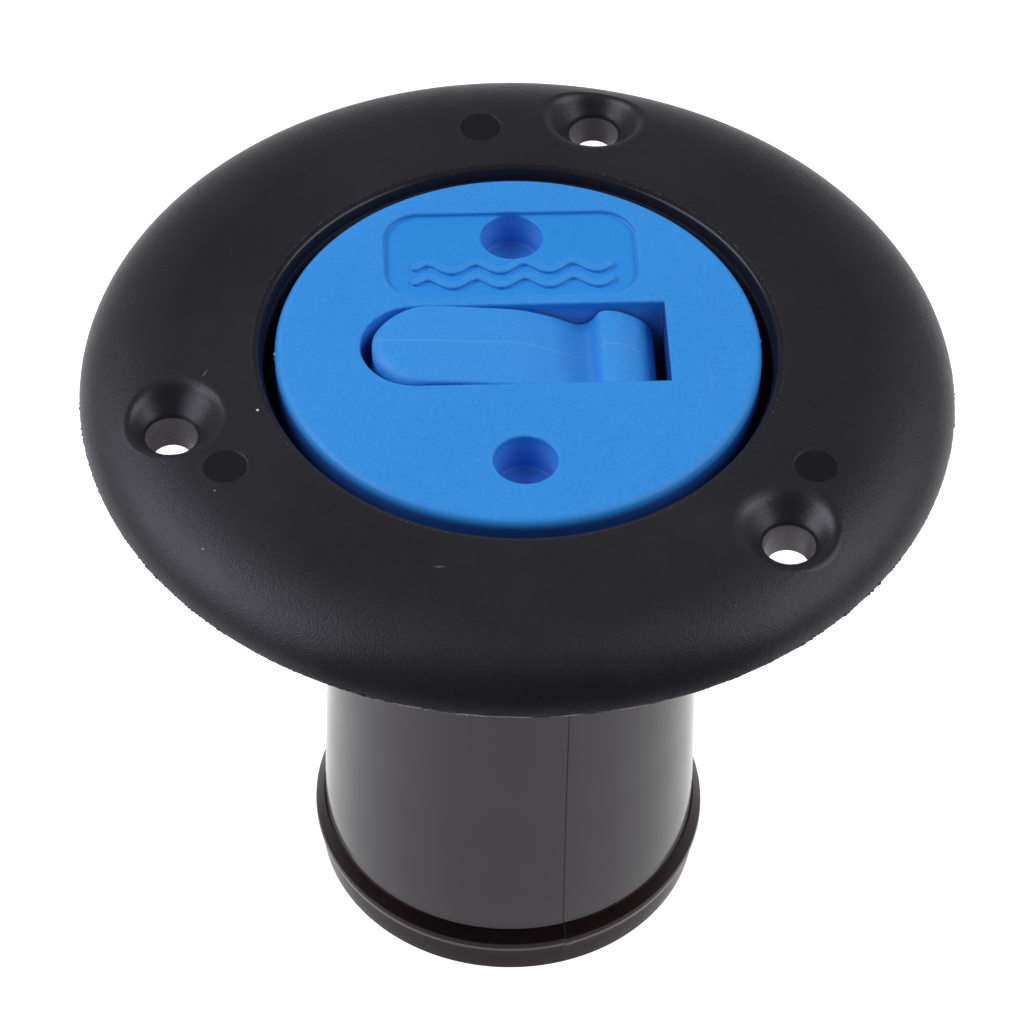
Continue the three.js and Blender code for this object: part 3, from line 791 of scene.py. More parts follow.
# ------------------------------------------------------------------ tether fittings
def swivel_field(p):
    x, y, z = p[:, 0], p[:, 1], p[:, 2]
    t = np.clip(-y / 9.5, 0, 1)
    d = vlen(x, y + 9.5 * t) - (3.75 + (2.48 - 3.75) * t)
    d = rmax(d, -(vlen(x, y) - 1.9), 0.05)
    d = rmax(d, -(vlen(x, y + 9.5) - 1.3), 0.05)
    return rmax(d, np.abs(z - 58.5) - 0.4, 0.16)


def screw_field(p):
    x, y, z = p[:, 0], p[:, 1], p[:, 2]
    r = vlen(x, y)
    phi = np.arctan2(y, x) / (2 * math.pi)
    v = np.abs(((z / 1.1 - phi) % 1.0) - 0.5) * 1.1
    shank = r - (1.22 + 0.26 * np.clip((v - 0.27) / 0.25, 0, 1) ** 1.5)
    shank = np.maximum(shank * 0.75, np.maximum(z - 64.15, 56.0 - z))
    shank = np.maximum(shank, (r - (64.2 - z) * 1.2) * 0.7)
    dome = vlen(r, z - 58.4) - 3.85
    head = rmax(np.maximum(dome, r - 3.58), z - 56.7, 0.2)
    head = np.maximum(head, 54.9 - z)
    d = rmin(shank, head, 0.2)
    a, b = np.abs(x), np.abs(y)
    cross = np.minimum(np.maximum(a - 1.9, b - 0.42), np.maximum(a - 0.42, b - 1.9))
    return rmax(d, -np.maximum(cross, z - 56.0 + 0.35 * r), 0.1)


# ------------------------------------------------------------------ materials
def srgb(r, g, b):
    return tuple(((c / 255) / 12.92 if c / 255 <= 0.04045 else ((c / 255 + 0.055) / 1.055) ** 2.4) for c in (r, g, b)) + (1.0,)


class Nodes:
    def __init__(self, name):
        self.m = bpy.data.materials.new(name)
        self.m.use_nodes = True
        self.t = self.m.node_tree
        self.b = self.t.nodes["Principled BSDF"]
        self.co = self.t.nodes.new("ShaderNodeTexCoord").outputs["Object"]

    def new(self, kind, **kw):
        n = self.t.nodes.new(kind)
        for k, v in kw.items():
            setattr(n, k, v)
        return n

    def put(self, sock, v):
        if isinstance(v, bpy.types.NodeSocket):
            self.t.links.new(v, sock)
        else:
            sock.default_value = v

    def noise(self, scale, detail=2.0, rough=0.5, co=None, dist=0.0):
        n = self.new("ShaderNodeTexNoise")
        self.put(n.inputs["Vector"], co or self.co)
        n.inputs["Scale"].default_value = scale
        n.inputs["Detail"].default_value = detail
        n.inputs["Roughness"].default_value = rough
        n.inputs["Distortion"].default_value = dist
        return n.outputs["Fac"]

    def voronoi(self, scale, co=None, out="Distance", rand=1.0):
        n = self.new("ShaderNodeTexVoronoi")
        self.put(n.inputs["Vector"], co or self.co)
        n.inputs["Scale"].default_value = scale
        n.inputs["Randomness"].default_value = rand
        return n.outputs[out]

    def math(self, op, a, b=0.0, c=None, clamp=False):
        n = self.new("ShaderNodeMath", operation=op, use_clamp=clamp)
        self.put(n.inputs[0], a)
        self.put(n.inputs[1], b)
        if c is not None:
            self.put(n.inputs[2], c)
        return n.outputs[0]

    def ramp(self, v, a, b, lo=0.0, hi=1.0):
        n = self.new("ShaderNodeMapRange", interpolation_type="SMOOTHSTEP")
        self.put(n.inputs[0], v)
        for i, x in enumerate((a, b, lo, hi)):
            self.put(n.inputs[i + 1], x)
        return n.outputs[0]

    def mix(self, f, a, b):
        n = self.new("ShaderNodeMix", data_type="RGBA")
        self.put(n.inputs["Factor"], f)
        self.put(n.inputs["A"], a)
        self.put(n.inputs["B"], b)
        return n.outputs["Result"]

    def xyz(self):
        n = self.new("ShaderNodeSeparateXYZ")
        self.put(n.inputs[0], self.co)
        return n.outputs

    def scaled(self, x, y, z, rot=(0, 0, 0)):
        n = self.new("ShaderNodeMapping")
        self.put(n.inputs["Vector"], self.co)
        n.inputs["Scale"].default_value = (x, y, z)
        n.inputs["Rotation"].default_value = rot
        return n.outputs[0]

    def bump(self, height, dist, strength=1.0, after=None):
        n = self.new("ShaderNodeBump")
        n.inputs["Strength"].default_value = strength
        n.inputs["Distance"].default_value = dist
        self.put(n.inputs["Height"], height)
        if after is not None:
            self.put(n.inputs["Normal"], after)
        return n.outputs[0]

    def set(self, **kw):
        for k, v in kw.items():
            self.put(self.b.inputs[k.replace("_", " ")], v)


def nylon_black(name, base, rough, grain, gloss_var=0.05, specks=True, spec=0.5, flow=0.0, tooled_with_highlight=False, rim=False, seam=False, tint=(1, 1, 1)):
    """Black glass-filled nylon: mould grain, slight clouding, stray light specks and rub marks, with painted highlight
    on one countersink and painted shade on the rim's near and far sides.
    """
    n = Nodes(name)
    cloud = n.noise(55, 4, 0.6)
    fine = n.noise(2600, 2, 0.6)
    mid = n.noise(420, 3, 0.55)
    dark = tuple(c * 0.82 for c in base[:3]) + (1,)
    light = tuple(c * 1.22 for c in base[:3]) + (1,)
    col = n.mix(n.ramp(cloud, 0.3, 0.7), dark, light)
    col = n.mix(n.math("MULTIPLY", n.ramp(fine, 0.52, 0.8), 0.35), col, tuple(c * 2.2 for c in base[:3]) + (1,))
    r = n.math("ADD", rough, n.math("MULTIPLY", n.math("SUBTRACT", mid, 0.5), gloss_var * 2))
    r = n.math("ADD", r, n.math("MULTIPLY", n.math("SUBTRACT", cloud, 0.5), gloss_var * 1.5))
    if specks:
        near = n.voronoi(170, out="Distance")
        pick = n.new("ShaderNodeSeparateColor")
        n.put(pick.inputs[0], n.voronoi(170, out="Color"))
        on = n.math("MULTIPLY", n.ramp(near, 0.026, 0.012), n.ramp(pick.outputs[0], 0.74, 0.76))
        col = n.mix(on, col, srgb(150, 150, 158))
        # short pale rub marks, each a thin line in its own cell
        sc = n.scaled(60, 260, 60, (0, 0, 0.9))
        line = n.voronoi(1.0, co=sc)
        pk = n.new("ShaderNodeSeparateColor")
        n.put(pk.inputs[0], n.voronoi(1.0, co=sc, out="Color"))
        mark = n.math("MULTIPLY", n.ramp(line, 0.05, 0.02), n.ramp(pk.outputs[1], 0.93, 0.95))
        col = n.mix(n.math("MULTIPLY", mark, 0.6), col, srgb(110, 110, 118))
    if rim:
        for px, py, rad_, v in CHIPS:
            dn = n.new("ShaderNodeVectorMath", operation="DISTANCE")
            sq = n.new("ShaderNodeVectorMath", operation="MULTIPLY")
            n.put(sq.inputs[0], n.co)
            sq.inputs[1].default_value = (1, 1, 0)
            n.put(dn.inputs[0], sq.outputs[0])
            dn.inputs[1].default_value = (px * MM, py * MM, 0)
            col = n.mix(n.ramp(dn.outputs["Value"], rad_ * MM, rad_ * 0.5 * MM), col, srgb(v, v, v))
    if tooled_with_highlight:
        # painted highlight: the left screw hole's countersink is painted paler on one side
        dn = n.new("ShaderNodeVectorMath", operation="DISTANCE")
        sq = n.new("ShaderNodeVectorMath", operation="MULTIPLY")
        n.put(sq.inputs[0], n.co)
        sq.inputs[1].default_value = (1, 1, 0)
        n.put(dn.inputs[0], sq.outputs[0])
        dn.inputs[1].default_value = (-31.0 * MM, -5.9 * MM, 0)
        countersink_highlight = n.math("MULTIPLY", n.ramp(dn.outputs["Value"], 2.0 * MM, 0.9 * MM), n.math("ADD", 0.65, n.math("MULTIPLY", mid, 0.4)))
        col = n.mix(countersink_highlight, col, (0.050, 0.046, 0.058, 1))
    n.set(Base_Color=col)
    n.b.inputs["Specular IOR Level"].default_value = spec
    if seam:
        # the parting line's duller, dirtier edge
        x, y, z = n.xyz()
        a = rad(SEAMS[0])
        off = n.math("SUBTRACT", n.math("MULTIPLY", x, math.sin(a)), n.math("MULTIPLY", y, math.cos(a)))
        off = n.math("ADD", n.math("ABSOLUTE", off), n.math("MULTIPLY", n.noise(700, 2, 0.5), 0.00004))
        line = n.math("MULTIPLY", n.ramp(off, 0.00012, 0.00005), 0.62)
        n.put(n.b.inputs["Specular IOR Level"], n.math("MULTIPLY", n.math("SUBTRACT", 1.0, line), spec))
    n.b.inputs["Specular Tint"].default_value = tint + (1,)
    n.b.inputs["IOR"].default_value = 1.5
    h = n.math("ADD", n.math("MULTIPLY", n.noise(5200, 2, 0.7), 1.0), n.math("MULTIPLY", n.noise(2300, 2, 0.6), 0.5))
    if rim:
        sx = n.new("ShaderNodeSeparateXYZ")
        cb = n.new("ShaderNodeCombineXYZ")
        n.put(sx.inputs[0], n.co)
        n.put(cb.inputs[0], sx.outputs[0])
        n.put(cb.inputs[1], sx.outputs[1])
        ln = n.new("ShaderNodeVectorMath", operation="LENGTH")
        n.put(ln.inputs[0], cb.outputs[0])
        out = n.ramp(ln.outputs["Value"], 0.0315, 0.038, 0.4, 1.0)
        # painted shade: the near and far sides of the rim reflect less, down to the edge
        rim_side_shade = n.math("MULTIPLY", n.ramp(sx.outputs[1], -0.0340, -0.0390), n.ramp(ln.outputs["Value"], 0.0375, 0.0412))
        far = n.math("MULTIPLY", n.ramp(sx.outputs[1], 0.0330, 0.0385), n.ramp(ln.outputs["Value"], 0.0375, 0.0412))
        rim_side_shade = n.math("ADD", n.math("MULTIPLY", rim_side_shade, 0.62), n.math("MULTIPLY", far, 0.34))
        n.put(n.b.inputs["Specular IOR Level"], n.math("MULTIPLY", n.math("SUBTRACT", 1.0, rim_side_shade), spec))
        h = n.math("MULTIPLY", h, out)
        r = n.math("SUBTRACT", r, n.math("MULTIPLY", out, 0.03))
    nor = n.bump(h, grain, 1.0)
    if tooled_with_highlight:
        # fine turning lines round each screw hole
        d = None
        for deg in HOLES:
            v = n.new("ShaderNodeVectorMath", operation="DISTANCE")
            sx = n.new("ShaderNodeSeparateXYZ")
            n.put(sx.inputs[0], n.co)
            cb = n.new("ShaderNodeCombineXYZ")
            n.put(cb.inputs[0], sx.outputs[0])
            n.put(cb.inputs[1], sx.outputs[1])
            n.put(v.inputs[0], cb.outputs[0])
            v.inputs[1].default_value = (HOLE_AT * MM * math.cos(rad(deg)), HOLE_AT * MM * math.sin(rad(deg)), 0)
            d = v.outputs["Value"] if d is None else n.math("MINIMUM", d, v.outputs["Value"])
        wob = n.math("MULTIPLY", n.noise(500, 2, 0.5), 0.00012)
        ln = n.math("SINE", n.math("MULTIPLY", n.math("ADD", d, wob), 2 * math.pi / 0.00021))
        nor = n.bump(ln, 0.0000007, 1.0, nor)
    if flow:
        nor = n.bump(n.noise(1.0, 3, 0.5, co=n.scaled(260, 260, 22)), flow, 1.0, nor)
    n.set(Normal=nor, Roughness=r)
    return n.m


def nylon_blue(name, lever=False):
    BLUE_A, BLUE_B, BLUE_C, BLUE_D = BLUES_LEVER if lever else BLUES_CAP
    n = Nodes(name)
    x, y, z = n.xyz()
    cloud = n.noise(42, 4, 0.6)
    fine = n.noise(3300, 3, 0.7)
    col = n.mix(n.ramp(cloud, 0.3, 0.72, 0.25, 0.75), BLUE_A, BLUE_B)
    col = n.mix(n.ramp(fine, 0.38, 0.68, 0.0, 0.85), col, BLUE_C)
    # faint flow streaks and scratches
    s1 = n.noise(1.0, 2, 0.6, co=n.scaled(900, 55, 900, (0, 0, 0.35)))
    s2 = n.noise(1.0, 2, 0.6, co=n.scaled(60, 1500, 900, (0, 0, -0.5)))
    scr = n.math("ADD", n.ramp(s1, 0.68, 0.80), n.ramp(s2, 0.70, 0.82), clamp=True)
    col = n.mix(n.math("MULTIPLY", scr, 0.08), col, srgb(150, 200, 245))
    near = n.voronoi(190)
    pick = n.new("ShaderNodeSeparateColor")
    n.put(pick.inputs[0], n.voronoi(190, out="Color"))
    on = n.math("MULTIPLY", n.ramp(near, 0.026, 0.012), n.ramp(pick.outputs[0], 0.86, 0.88))
    col = n.mix(n.math("MULTIPLY", on, 0.7), col, srgb(175, 205, 240))
    h = n.math("ADD", n.math("MULTIPLY", n.noise(2600, 3, 0.65), 0.6), n.math("MULTIPLY", n.noise(5200, 2, 0.6), 0.5))
    nor = n.bump(h, 0.000014, 1.0)
    nor = n.bump(n.noise(150, 3, 0.5), 0.00002, 0.5, nor)
    r = n.math("ADD", 0.50, n.math("MULTIPLY", n.math("SUBTRACT", n.noise(260, 3, 0.6), 0.5), 0.14))
    r = n.math("SUBTRACT", r, n.math("MULTIPLY", scr, 0.05))
    if lever:
        # weld line along the top of the lever
        wob = n.math("MULTIPLY", n.math("SUBTRACT", n.noise(1.0, 2, 0.5, co=n.scaled(160, 20, 20)), 0.5), 0.0009)
        off = n.math("ABSOLUTE", n.math("SUBTRACT", n.math("ADD", y, wob), WELD_Y * MM))
        ln = n.math("MULTIPLY", n.ramp(off, 0.00010, 0.00003), n.ramp(z, (CAP_TOP - 5) * MM, (CAP_TOP - 4) * MM))
        col = n.mix(n.math("MULTIPLY", ln, 0.30), col, srgb(140, 195, 245))
        nor = n.bump(ln, 0.00002, 1.0, nor)
        # painted shade: the lever's side walls and left end are painted the deep navy of a shaded side
        off = n.math("ABSOLUTE", y)
        flank_shade = n.math("MULTIPLY", n.ramp(off, 4.85 * MM, 5.1 * MM), n.ramp(z, (CAP_TOP - 0.6) * MM, (CAP_TOP - 1.4) * MM))
        tip_shade = n.math("MULTIPLY", n.ramp(x, -13.6 * MM, -14.15 * MM), n.ramp(z, (CAP_TOP - 0.9) * MM, (CAP_TOP - 2.0) * MM))
        col = n.mix(n.math("MAXIMUM", flank_shade, tip_shade), col, BLUE_SHADED_SIDE)
        # painted shade: the valley in front of the barrel is painted darker
        valley_shade = n.math("MULTIPLY", n.ramp(x, 3.0 * MM, 5.8 * MM), n.ramp(x, 8.1 * MM, 7.3 * MM))
        # painted shade: the near side of the lever's left end is painted darker where it rolls over
        nose_shade = n.math("MULTIPLY", n.ramp(x, -11.0 * MM, -13.6 * MM), n.ramp(z, (CAP_TOP + 0.25) * MM, (CAP_TOP - 0.5) * MM))
        nose_shade = n.math("MULTIPLY", nose_shade, n.ramp(y, 1.0 * MM, -3.5 * MM))
        col = n.mix(n.math("MULTIPLY", valley_shade, 0.52), col, (0.020, 0.205, 0.62, 1))
        col = n.mix(n.math("MULTIPLY", nose_shade, 0.6), col, (0.018, 0.17, 0.50, 1))
    else:
        # the sunken panel and the holes' floors are smoother and a shade deeper than the top
        deep = n.ramp(z, (CAP_TOP - 0.12) * MM, (CAP_TOP - 0.40) * MM)
        col = n.mix(n.math("MULTIPLY", deep, 0.55), col, BLUE_D)
        r = n.math("SUBTRACT", r, n.math("MULTIPLY", deep, 0.17))
        # painted light: the walls and floors of the recesses are painted a paler blue
        pit_fill_light = n.ramp(z, (CAP_TOP - 0.6) * MM, (CAP_TOP - 1.3) * MM)
        col = n.mix(pit_fill_light, col, BLUE_PIT_LIGHT)
        # painted shade: the floor of the lever pocket is painted a darker blue
        low = n.math("MULTIPLY", n.ramp(z, (CAP_TOP - 4.5) * MM, (CAP_TOP - 5.8) * MM), n.ramp(n.math("ABSOLUTE", y), 5.8 * MM, 5.6 * MM))
        low = n.math("MULTIPLY", low, n.ramp(n.math("ABSOLUTE", x), 15.8 * MM, 15.5 * MM))
        col = n.mix(low, col, BLUE_FLOOR_SHADE)
        # painted shade: the deep right end of the pocket floor is painted a greyer, darker blue
        col = n.mix(n.math("MULTIPLY", low, n.ramp(x, 12.4 * MM, 12.9 * MM)), col, BLUE_DEEP_SHADE)
        rr = n.new("ShaderNodeVectorMath", operation="LENGTH")
        cb = n.new("ShaderNodeCombineXYZ")
        n.put(cb.inputs[0], x)
        n.put(cb.inputs[1], y)
        n.put(rr.inputs[0], cb.outputs[0])
        # painted shade: the slot's right wall is painted dark navy
        slot_wall_shade = n.math("MULTIPLY", n.ramp(x, 14.30 * MM, 14.42 * MM), n.ramp(x, 14.8 * MM, 14.7 * MM))
        slot_wall_shade = n.math("MULTIPLY", slot_wall_shade, n.ramp(n.math("ABSOLUTE", y), 5.6 * MM, 5.45 * MM))
        slot_wall_shade = n.math("MULTIPLY", slot_wall_shade, n.ramp(z, (CAP_TOP - 0.08) * MM, (CAP_TOP - 0.5) * MM))
        col = n.mix(slot_wall_shade, col, (0.024, 0.088, 0.36, 1))
        # painted shade: the cap's side wall below the top edge is painted deep navy
        side = n.math("MULTIPLY", n.ramp(rr.outputs["Value"], 0.02295, 0.02335), n.ramp(z, 0.0724, 0.0716))
        col = n.mix(side, col, BLUE_SHADED_SIDE)
    n.set(Base_Color=col, Roughness=r, Normal=nor)
    n.b.inputs["Specular IOR Level"].default_value = 0.3
    n.b.inputs["Subsurface Weight"].default_value = 0.12
    n.b.inputs["Subsurface Radius"].default_value = (0.3, 0.34, 0.4)
    n.b.inputs["Subsurface Scale"].default_value = 0.001
    n.b.inputs["IOR"].default_value = 1.5
    return n.m


def flash_black(name):
    """Thin moulding flash: dark, and pale where it is torn along the near edge."""
    n = Nodes(name)
    x, y, z = n.xyz()
    torn = n.math("MULTIPLY", n.ramp(n.noise(330, 3, 0.6), 0.40, 0.56), n.ramp(n.math("ABSOLUTE", n.math("ADD", x, 0.002)), 0.017, 0.008))
    torn = n.math("MULTIPLY", torn, n.ramp(y, -0.032, -0.037))
    n.set(Base_Color=n.mix(torn, (0.020, 0.018, 0.020, 1), (0.44, 0.41, 0.40, 1)))
    n.b.inputs["Roughness"].default_value = 0.5
    n.b.inputs["Specular IOR Level"].default_value = 0.25
    return n.m


def steel(name):
    n = Nodes(name)
    br = n.noise(1.0, 3, 0.6, co=n.scaled(300, 300, 5200))
    col = n.mix(n.ramp(n.noise(400, 3, 0.5), 0.3, 0.7), (0.48, 0.49, 0.5, 1), (0.62, 0.63, 0.64, 1))
    r = n.math("ADD", 0.22, n.math("MULTIPLY", br, 0.16))
    n.set(Base_Color=col, Roughness=r, Normal=n.bump(br, 0.000004, 1.0))
    n.b.inputs["Metallic"].default_value = 1.0
    return n.m


def rubber(name):
    n = Nodes(name)
    col = n.mix(n.ramp(n.noise(300, 3, 0.5), 0.3, 0.7), (0.012, 0.012, 0.013, 1), (0.022, 0.022, 0.023, 1))
    r = n.math("ADD", 0.38, n.math("MULTIPLY", n.noise(900, 2, 0.5), 0.2))
    n.set(Base_Color=col, Roughness=r, Normal=n.bump(n.noise(1800, 2, 0.6), 0.000008, 1.0))
    return n.m


BLUES_CAP = ((0.034, 0.292, 0.80, 1), (0.040, 0.322, 0.84, 1), (0.048, 0.355, 0.89, 1), (0.020, 0.292, 0.82, 1))
BLUES_LEVER = ((0.040, 0.305, 0.82, 1), (0.047, 0.338, 0.87, 1), (0.055, 0.37, 0.92, 1), (0.020, 0.292, 0.82, 1))
BLUE_PIT_LIGHT = (0.085, 0.315, 0.80, 1)
BLUE_FLOOR_SHADE = (0.045, 0.19, 0.58, 1)
BLUE_DEEP_SHADE = (0.125, 0.165, 0.34, 1)
BLUE_SHADED_SIDE = (0.028, 0.115, 0.50, 1)
WELD_Y = 0.35
CHIPS = [(-25.08, -8.11, 0.19, 215), (-29.10, -18.30, 0.11, 150), (-30.26, -3.37, 0.1, 105), (-30.14, -3.15, 0.1, 125), (-30.02, -2.93, 0.1, 125),
         (-29.90, -2.71, 0.09, 105)]
M_GRAIN = nylon_black("black_grain", (0.0122, 0.0116, 0.0155), 0.44, 0.000048, spec=0.42, rim=True, tint=(0.96, 0.93, 1.0))
M_SMOOTH = nylon_black("black_smooth", (0.0125, 0.0118, 0.0150), 0.36, 0.000022, spec=0.46, tooled_with_highlight=True, tint=(0.97, 0.94, 1.0))
M_GLOSS = nylon_black("black_lip", (0.0115, 0.0105, 0.0135), 0.24, 0.000003, specks=False, spec=0.32, tint=(0.95, 0.92, 1.0))
M_TUBE = nylon_black("black_tube", (0.0066, 0.0050, 0.0064), 0.11, 0.0000010, gloss_var=0.02, specks=False, spec=0.375, flow=0.000004, seam=True, tint=(1.0, 0.93, 0.995))
M_MARK = nylon_black("black_ejector_mark", (0.0058, 0.0054, 0.0074), 0.5, 0.000004, specks=False, spec=0.24)
M_FOOT = nylon_black("black_foot", (0.0052, 0.0032, 0.0036), 0.26, 0.000001, gloss_var=0.02, specks=False, spec=0.155, tint=(1.0, 0.64, 0.68))
# painted light: the bore wall is painted a much paler black to lift its shadowed gap
M_BORE_PAINTED_LIGHT = nylon_black("black_bore", (0.060, 0.055, 0.066), 0.4, 0.000003, specks=False, spec=0.22, tint=(1.0, 0.93, 0.97))
# painted light: the screw holes' walls are painted a much paler black, standing in for light on them
M_HOLE_PAINTED_LIGHT = nylon_black("black_screw_hole", (0.104, 0.095, 0.108), 0.36, 0.00003, specks=False, spec=0.5)
M_FLASH = flash_black("black_flash")
M_BURR = nylon_black("black_burr", (0.016, 0.015, 0.018), 0.4, 0.000004, specks=False)
BLACKS = [M_GRAIN, M_SMOOTH, M_GLOSS, M_TUBE, M_MARK, M_FOOT, M_BORE_PAINTED_LIGHT, M_HOLE_PAINTED_LIGHT]
M_CAP = nylon_blue("blue_cap")
M_LEVER = nylon_blue("blue_lever", True)
M_STEEL = steel("stainless_steel")
M_RUBBER = rubber("nitrile_rubber")


# ------------------------------------------------------------------ pieces
def piece(name, me, body, slot, mats, *nodes):
    me.name = name
    ob = link(name, me)
    if not me.materials:
        for m in mats:
            me.materials.append(m)
    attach(ob, body)
    if nodes:
        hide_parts(*nodes)
    return ob


body = body_mesh()
core = field_mesh("core", recess_cutter(), (-40.4, -40.4, 66.6), (40.4, 40.4, 70.6), 0.5)
body = boolean(body, core, "DIFFERENCE", 1)
body = boolean(body, thread_bar("bar", 55.0, 0, 1.15, 22.4, 20.5, 3.8, 1.7, 22.15), "UNION", 3)
body = boolean(body, field_mesh("eye", eye_field, (14.3, -2, 45.0), (21.0, 2, 52.0), 0.2), "UNION", 3)
shade(body, 33)
bm = bmesh.new()
bm.from_mesh(body)
for e in bm.edges:
    if len(e.link_faces) == 2 and {f.material_index for f in e.link_faces} == {0, 2}:
        e.smooth = False
bm.to_mesh(body)
bm.free()
print("body faces", len(body.polygons), "materials", sorted(set(p.material_index for p in body.polygons)))
piece("deck_fill_body", body, "body", "body_black", BLACKS, "fill_body")


def flash_ring(name, n, section):
    """A thin ragged line of moulding flash: section(theta) gives rows of r and of z, one row for each corner."""
    t = np.arange(n) * 2 * math.pi / n
    b = Builder()
    rings = []
    for r, z in section(t):
        rings.append(b.verts(np.stack([r * np.cos(t), r * np.sin(t), z], 1)))
    for p, q in zip(rings, rings[1:] + rings[:1]):
        b.bridge(p, q)
    me = b.mesh(name, merge=1e-9)
    shade(me, 50)
    return me


def rim_flash(t):
    patch = 0.42 + 0.58 * smoothstep(-0.5, 0.7, harmonics(t, 31, 2, 16))
    a = np.clip(0.25 + 0.55 * harmonics(t, 32, 120, 620) + 0.45 * harmonics(t, 33, 30, 90), 0, 1.6) / 1.6 * patch
    one = np.ones_like(t)
    return [(42.28 * one, 67.5 * one + 0.02), (42.36 * one + 0.125 * a, 67.5 * one + 0.004),
            (42.36 * one + 0.13 * a, 67.5 * one + 0.035 + 0.05 * a), (42.28 * one, 67.5 * one + 0.12)]


def lip_flash(t):
    patch = 0.35 + 0.65 * smoothstep(-0.6, 0.8, harmonics(t, 41, 2, 12))
    a = np.clip(0.5 + 0.6 * harmonics(t, 42, 90, 420), 0, 2) / 2 * patch
    c = harmonics(t, 43, 60, 300)
    one = np.ones_like(t)
    return [(25.74 * one, TOP * one - 0.06), (25.68 * one + 0.03 * c, TOP * one - 0.012 + 0.02 * a),
            (25.61 * one + 0.03 * c, TOP * one - 0.008 + 0.075 * a), (25.56 * one + 0.02 * c, TOP * one - 0.03),
            (25.6 * one, TOP * one - 0.12)]


piece("rim_moulding_flash", flash_ring("rim_flash", 3600, rim_flash), "body", "body_black", [M_FLASH])
piece("bore_moulding_flash", flash_ring("lip_flash", 2880, lip_flash), "body", "body_black", [M_BURR])

cap = field_mesh("screw_cap", cap_field, (-23.9, -23.9, 53.6), (23.9, 23.9, 73.5), 0.2, faces=190000)
piece("screw_cap", cap, "cap", "cap_blue", [M_CAP], "cap")

lev = field_mesh("flip_lever", lever_field, (-14.9, -5.6, 63.6), (13.4, 5.6, 74.0), 0.17, faces=150000)
piece("flip_lever", lev, "lever", "cap_blue", [M_LEVER], "lever")

ORING = [(21.9 + 1.12 * math.cos(a), 65.0 + 1.12 * math.sin(a)) for a in np.linspace(0, 2 * math.pi, 33)[:-1]]
piece("o_ring", turned("o_ring", ORING, 240, closed=True), "cap", "nitrile", [M_RUBBER], "cap_o_ring")

pin = rounded([(0, -9, 0), (1.25, -9, 0.3), (1.25, 9, 0.3), (0, 9, 0)], 5, 0.8)
pin_me = turned("hinge_pin", pin, 48, axis="Y")
pin_me.transform(Matrix.Translation((PIVOT[0] * MM, 0, PIVOT[1] * MM)))
piece("hinge_pin", pin_me, "cap", "stainless", [M_STEEL], "lever_pin")

wash = rounded([(2.85, 57.0, 0), (3.9, 57.0, 0.12), (3.9, 57.7, 0.12), (1.8, 57.7, 0.12), (1.8, 57.0, 0.12), (2.85, 57.0, 0)], 4)[:-1]
piece("washer", turned("washer", wash, 96, closed=True), "cap", "stainless", [M_STEEL], "tether_washer")
piece("tether_screw_piece", field_mesh("screw", screw_field, (-4, -4, 54.5), (4, 4, 64.6), 0.11), "cap", "stainless", [M_STEEL], "tether_screw")
piece("tether_link", field_mesh("link", swivel_field, (-4.3, -12.6, 57.7), (4.3, 4.3, 59.3), 0.12), "tether_swivel", "stainless", [M_STEEL], "tether_swivel")


# ------------------------------------------------------------------ floor, light and camera
def floor():
    me = bpy.data.meshes.new("floor")
    s = 12.0
    me.from_pydata([(-s, -s, -0.0001), (s, -s, -0.0001), (s, s, -0.0001), (-s, s, -0.0001)], [], [(0, 1, 2, 3)])
    ob = link("floor", me)
    n = Nodes("floor_white")
    n.b.inputs["Base Color"].default_value = (0.35, 0.35, 0.35, 1)
    n.b.inputs["Emission Color"].default_value = (1, 1, 1, 1)
    near = n.ramp(n.xyz()[1], -0.26, -0.11, 0.55, 1.04)
    n.put(n.b.inputs["Emission Strength"], n.math("MULTIPLY", near, n.ramp(n.xyz()[1], 0.16, 0.40, 1.0, 0.60)))
    n.b.inputs["Roughness"].default_value = 0.9
    n.b.inputs["Specular IOR Level"].default_value = 0.0
    me.materials.append(n.m)
    return ob


floor()

world = bpy.data.worlds.new("studio")
scene.world = world
world.use_nodes = True
wt = world.node_tree
bg = wt.nodes["Background"]
tc = wt.nodes.new("ShaderNodeTexCoord")
sep = wt.nodes.new("ShaderNodeSeparateXYZ")
ramp = wt.nodes.new("ShaderNodeValToRGB")
wt.links.new(tc.outputs["Generated"], sep.inputs[0])
wt.links.new(sep.outputs["Z"], ramp.inputs[0])
front = wt.nodes.new("ShaderNodeMapRange")
front.interpolation_type = "SMOOTHSTEP"
for i, v in enumerate((-0.85, -0.1, 0.32, 1.0)):
    front.inputs[i + 1].default_value = v
wt.links.new(sep.outputs["Y"], front.inputs[0])
above = wt.nodes.new("ShaderNodeMapRange")
for i, v in enumerate((-0.02, 0.02, 1.0, 0.0)):
    above.inputs[i + 1].default_value = v
wt.links.new(sep.outputs["Z"], above.inputs[0])
most = wt.nodes.new("ShaderNodeMath")
most.operation = "MAXIMUM"
wt.links.new(front.outputs[0], most.inputs[0])
wt.links.new(above.outputs[0], most.inputs[1])
dim = wt.nodes.new("ShaderNodeVectorMath")
dim.operation = "SCALE"
wt.links.new(ramp.outputs[0], dim.inputs[0])
wt.links.new(most.outputs[0], dim.inputs["Scale"])
wt.links.new(dim.outputs[0], bg.inputs["Color"])
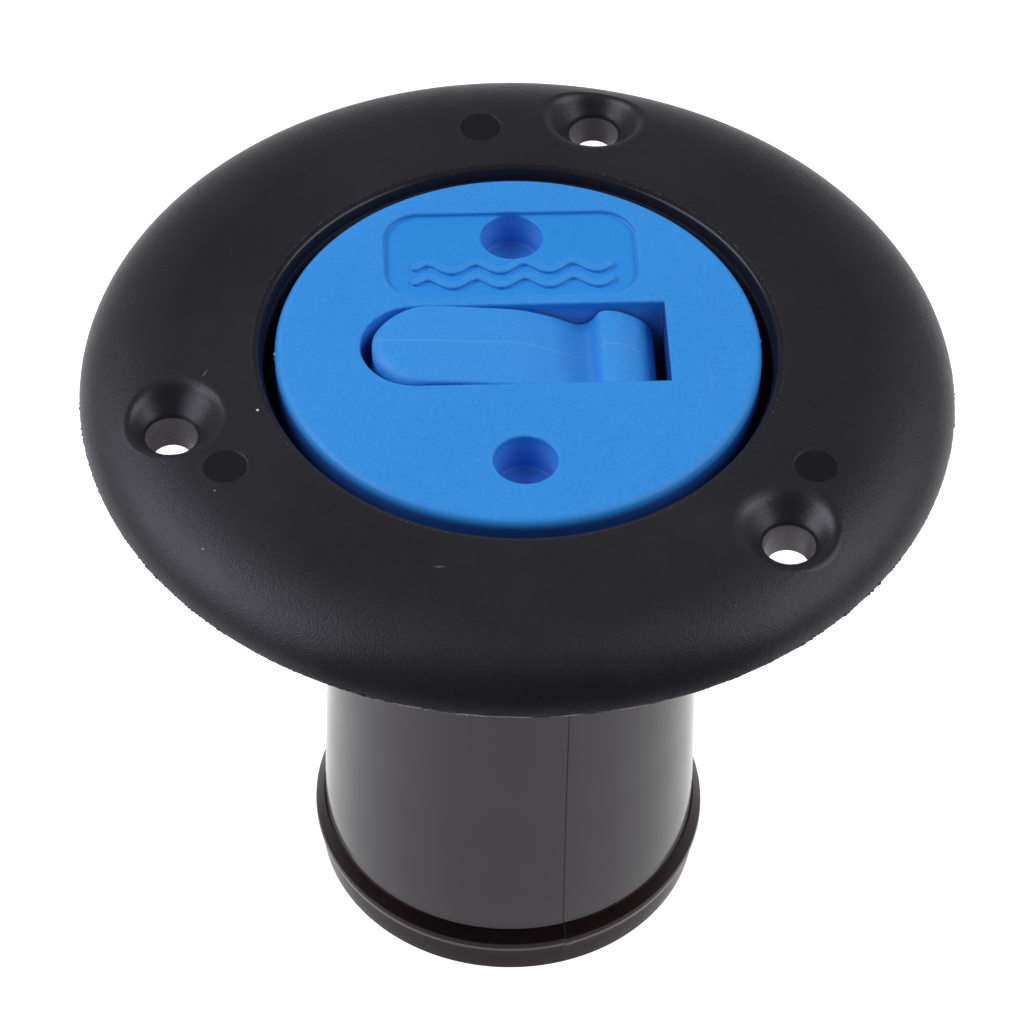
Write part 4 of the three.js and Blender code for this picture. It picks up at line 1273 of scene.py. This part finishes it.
WORLD = [(0.0, 0.38), (0.15, 0.33), (0.4, 0.25), (0.74, 0.25), (1.0, 0.28)]
cr = ramp.color_ramp
cr.elements[0].position, cr.elements[1].position = WORLD[0][0], WORLD[-1][0]
for pos, _ in WORLD[1:-1]:
    cr.elements.new(pos)
for el, (pos, v) in zip(cr.elements, WORLD):
    el.position = pos
    el.color = (v, v, v * 1.0, 1)
bg.inputs["Strength"].default_value = 1.0


def softbox(name, where, to, w, h, power, colour=(1, 1, 1)):
    l = bpy.data.lights.new(name, "AREA")
    l.shape = "RECTANGLE"
    l.size, l.size_y = w, h
    l.energy = power
    l.color = colour
    ob = bpy.data.objects.new(name, l)
    scene.collection.objects.link(ob)
    ob.location = where
    ob.rotation_euler = (Vector(to) - Vector(where)).to_track_quat("-Z", "Y").to_euler()
    return ob


softbox("left_softbox", (-0.69, 0.06, 0.66), (0, 0, 0.06), 0.80, 0.52, 5.3, (0.96, 0.98, 1.06))
softbox("right_softbox", (0.69, -0.03, 0.67), (0, 0, 0.06), 0.76, 0.52, 3.8, (0.98, 0.99, 1.03))

F_PX, CAM_D, ELEV, ROLL, TURN = 4224.49, 423.683, 47.152, 1.238, -3.4
back = Vector((0, -math.cos(rad(ELEV)), math.sin(rad(ELEV))))
right = Vector((1, 0, 0))
up = back.cross(right)
cx = math.cos(rad(ROLL)) * right + math.sin(rad(ROLL)) * up
cy = -math.sin(rad(ROLL)) * right + math.cos(rad(ROLL)) * up
pos = Vector((-0.271, 0, -18.407)) + back * CAM_D + Vector((0, 0, DECK))
cam = bpy.data.cameras.new("camera")
cam_ob = bpy.data.objects.new("camera", cam)
scene.collection.objects.link(cam_ob)
m = Matrix((cx, cy, back)).transposed().to_4x4()
m.translation = pos * MM
cam_ob.matrix_world = Matrix.Rotation(rad(TURN), 4, "Z") @ m
cam.sensor_width = 36.0
cam.lens = F_PX * 36.0 / 1024.0
cam.clip_start = 0.01
cam.clip_end = 20.0
scene.camera = cam_ob
scene.view_settings.view_transform = "Standard"

bpy.context.view_layer.update()
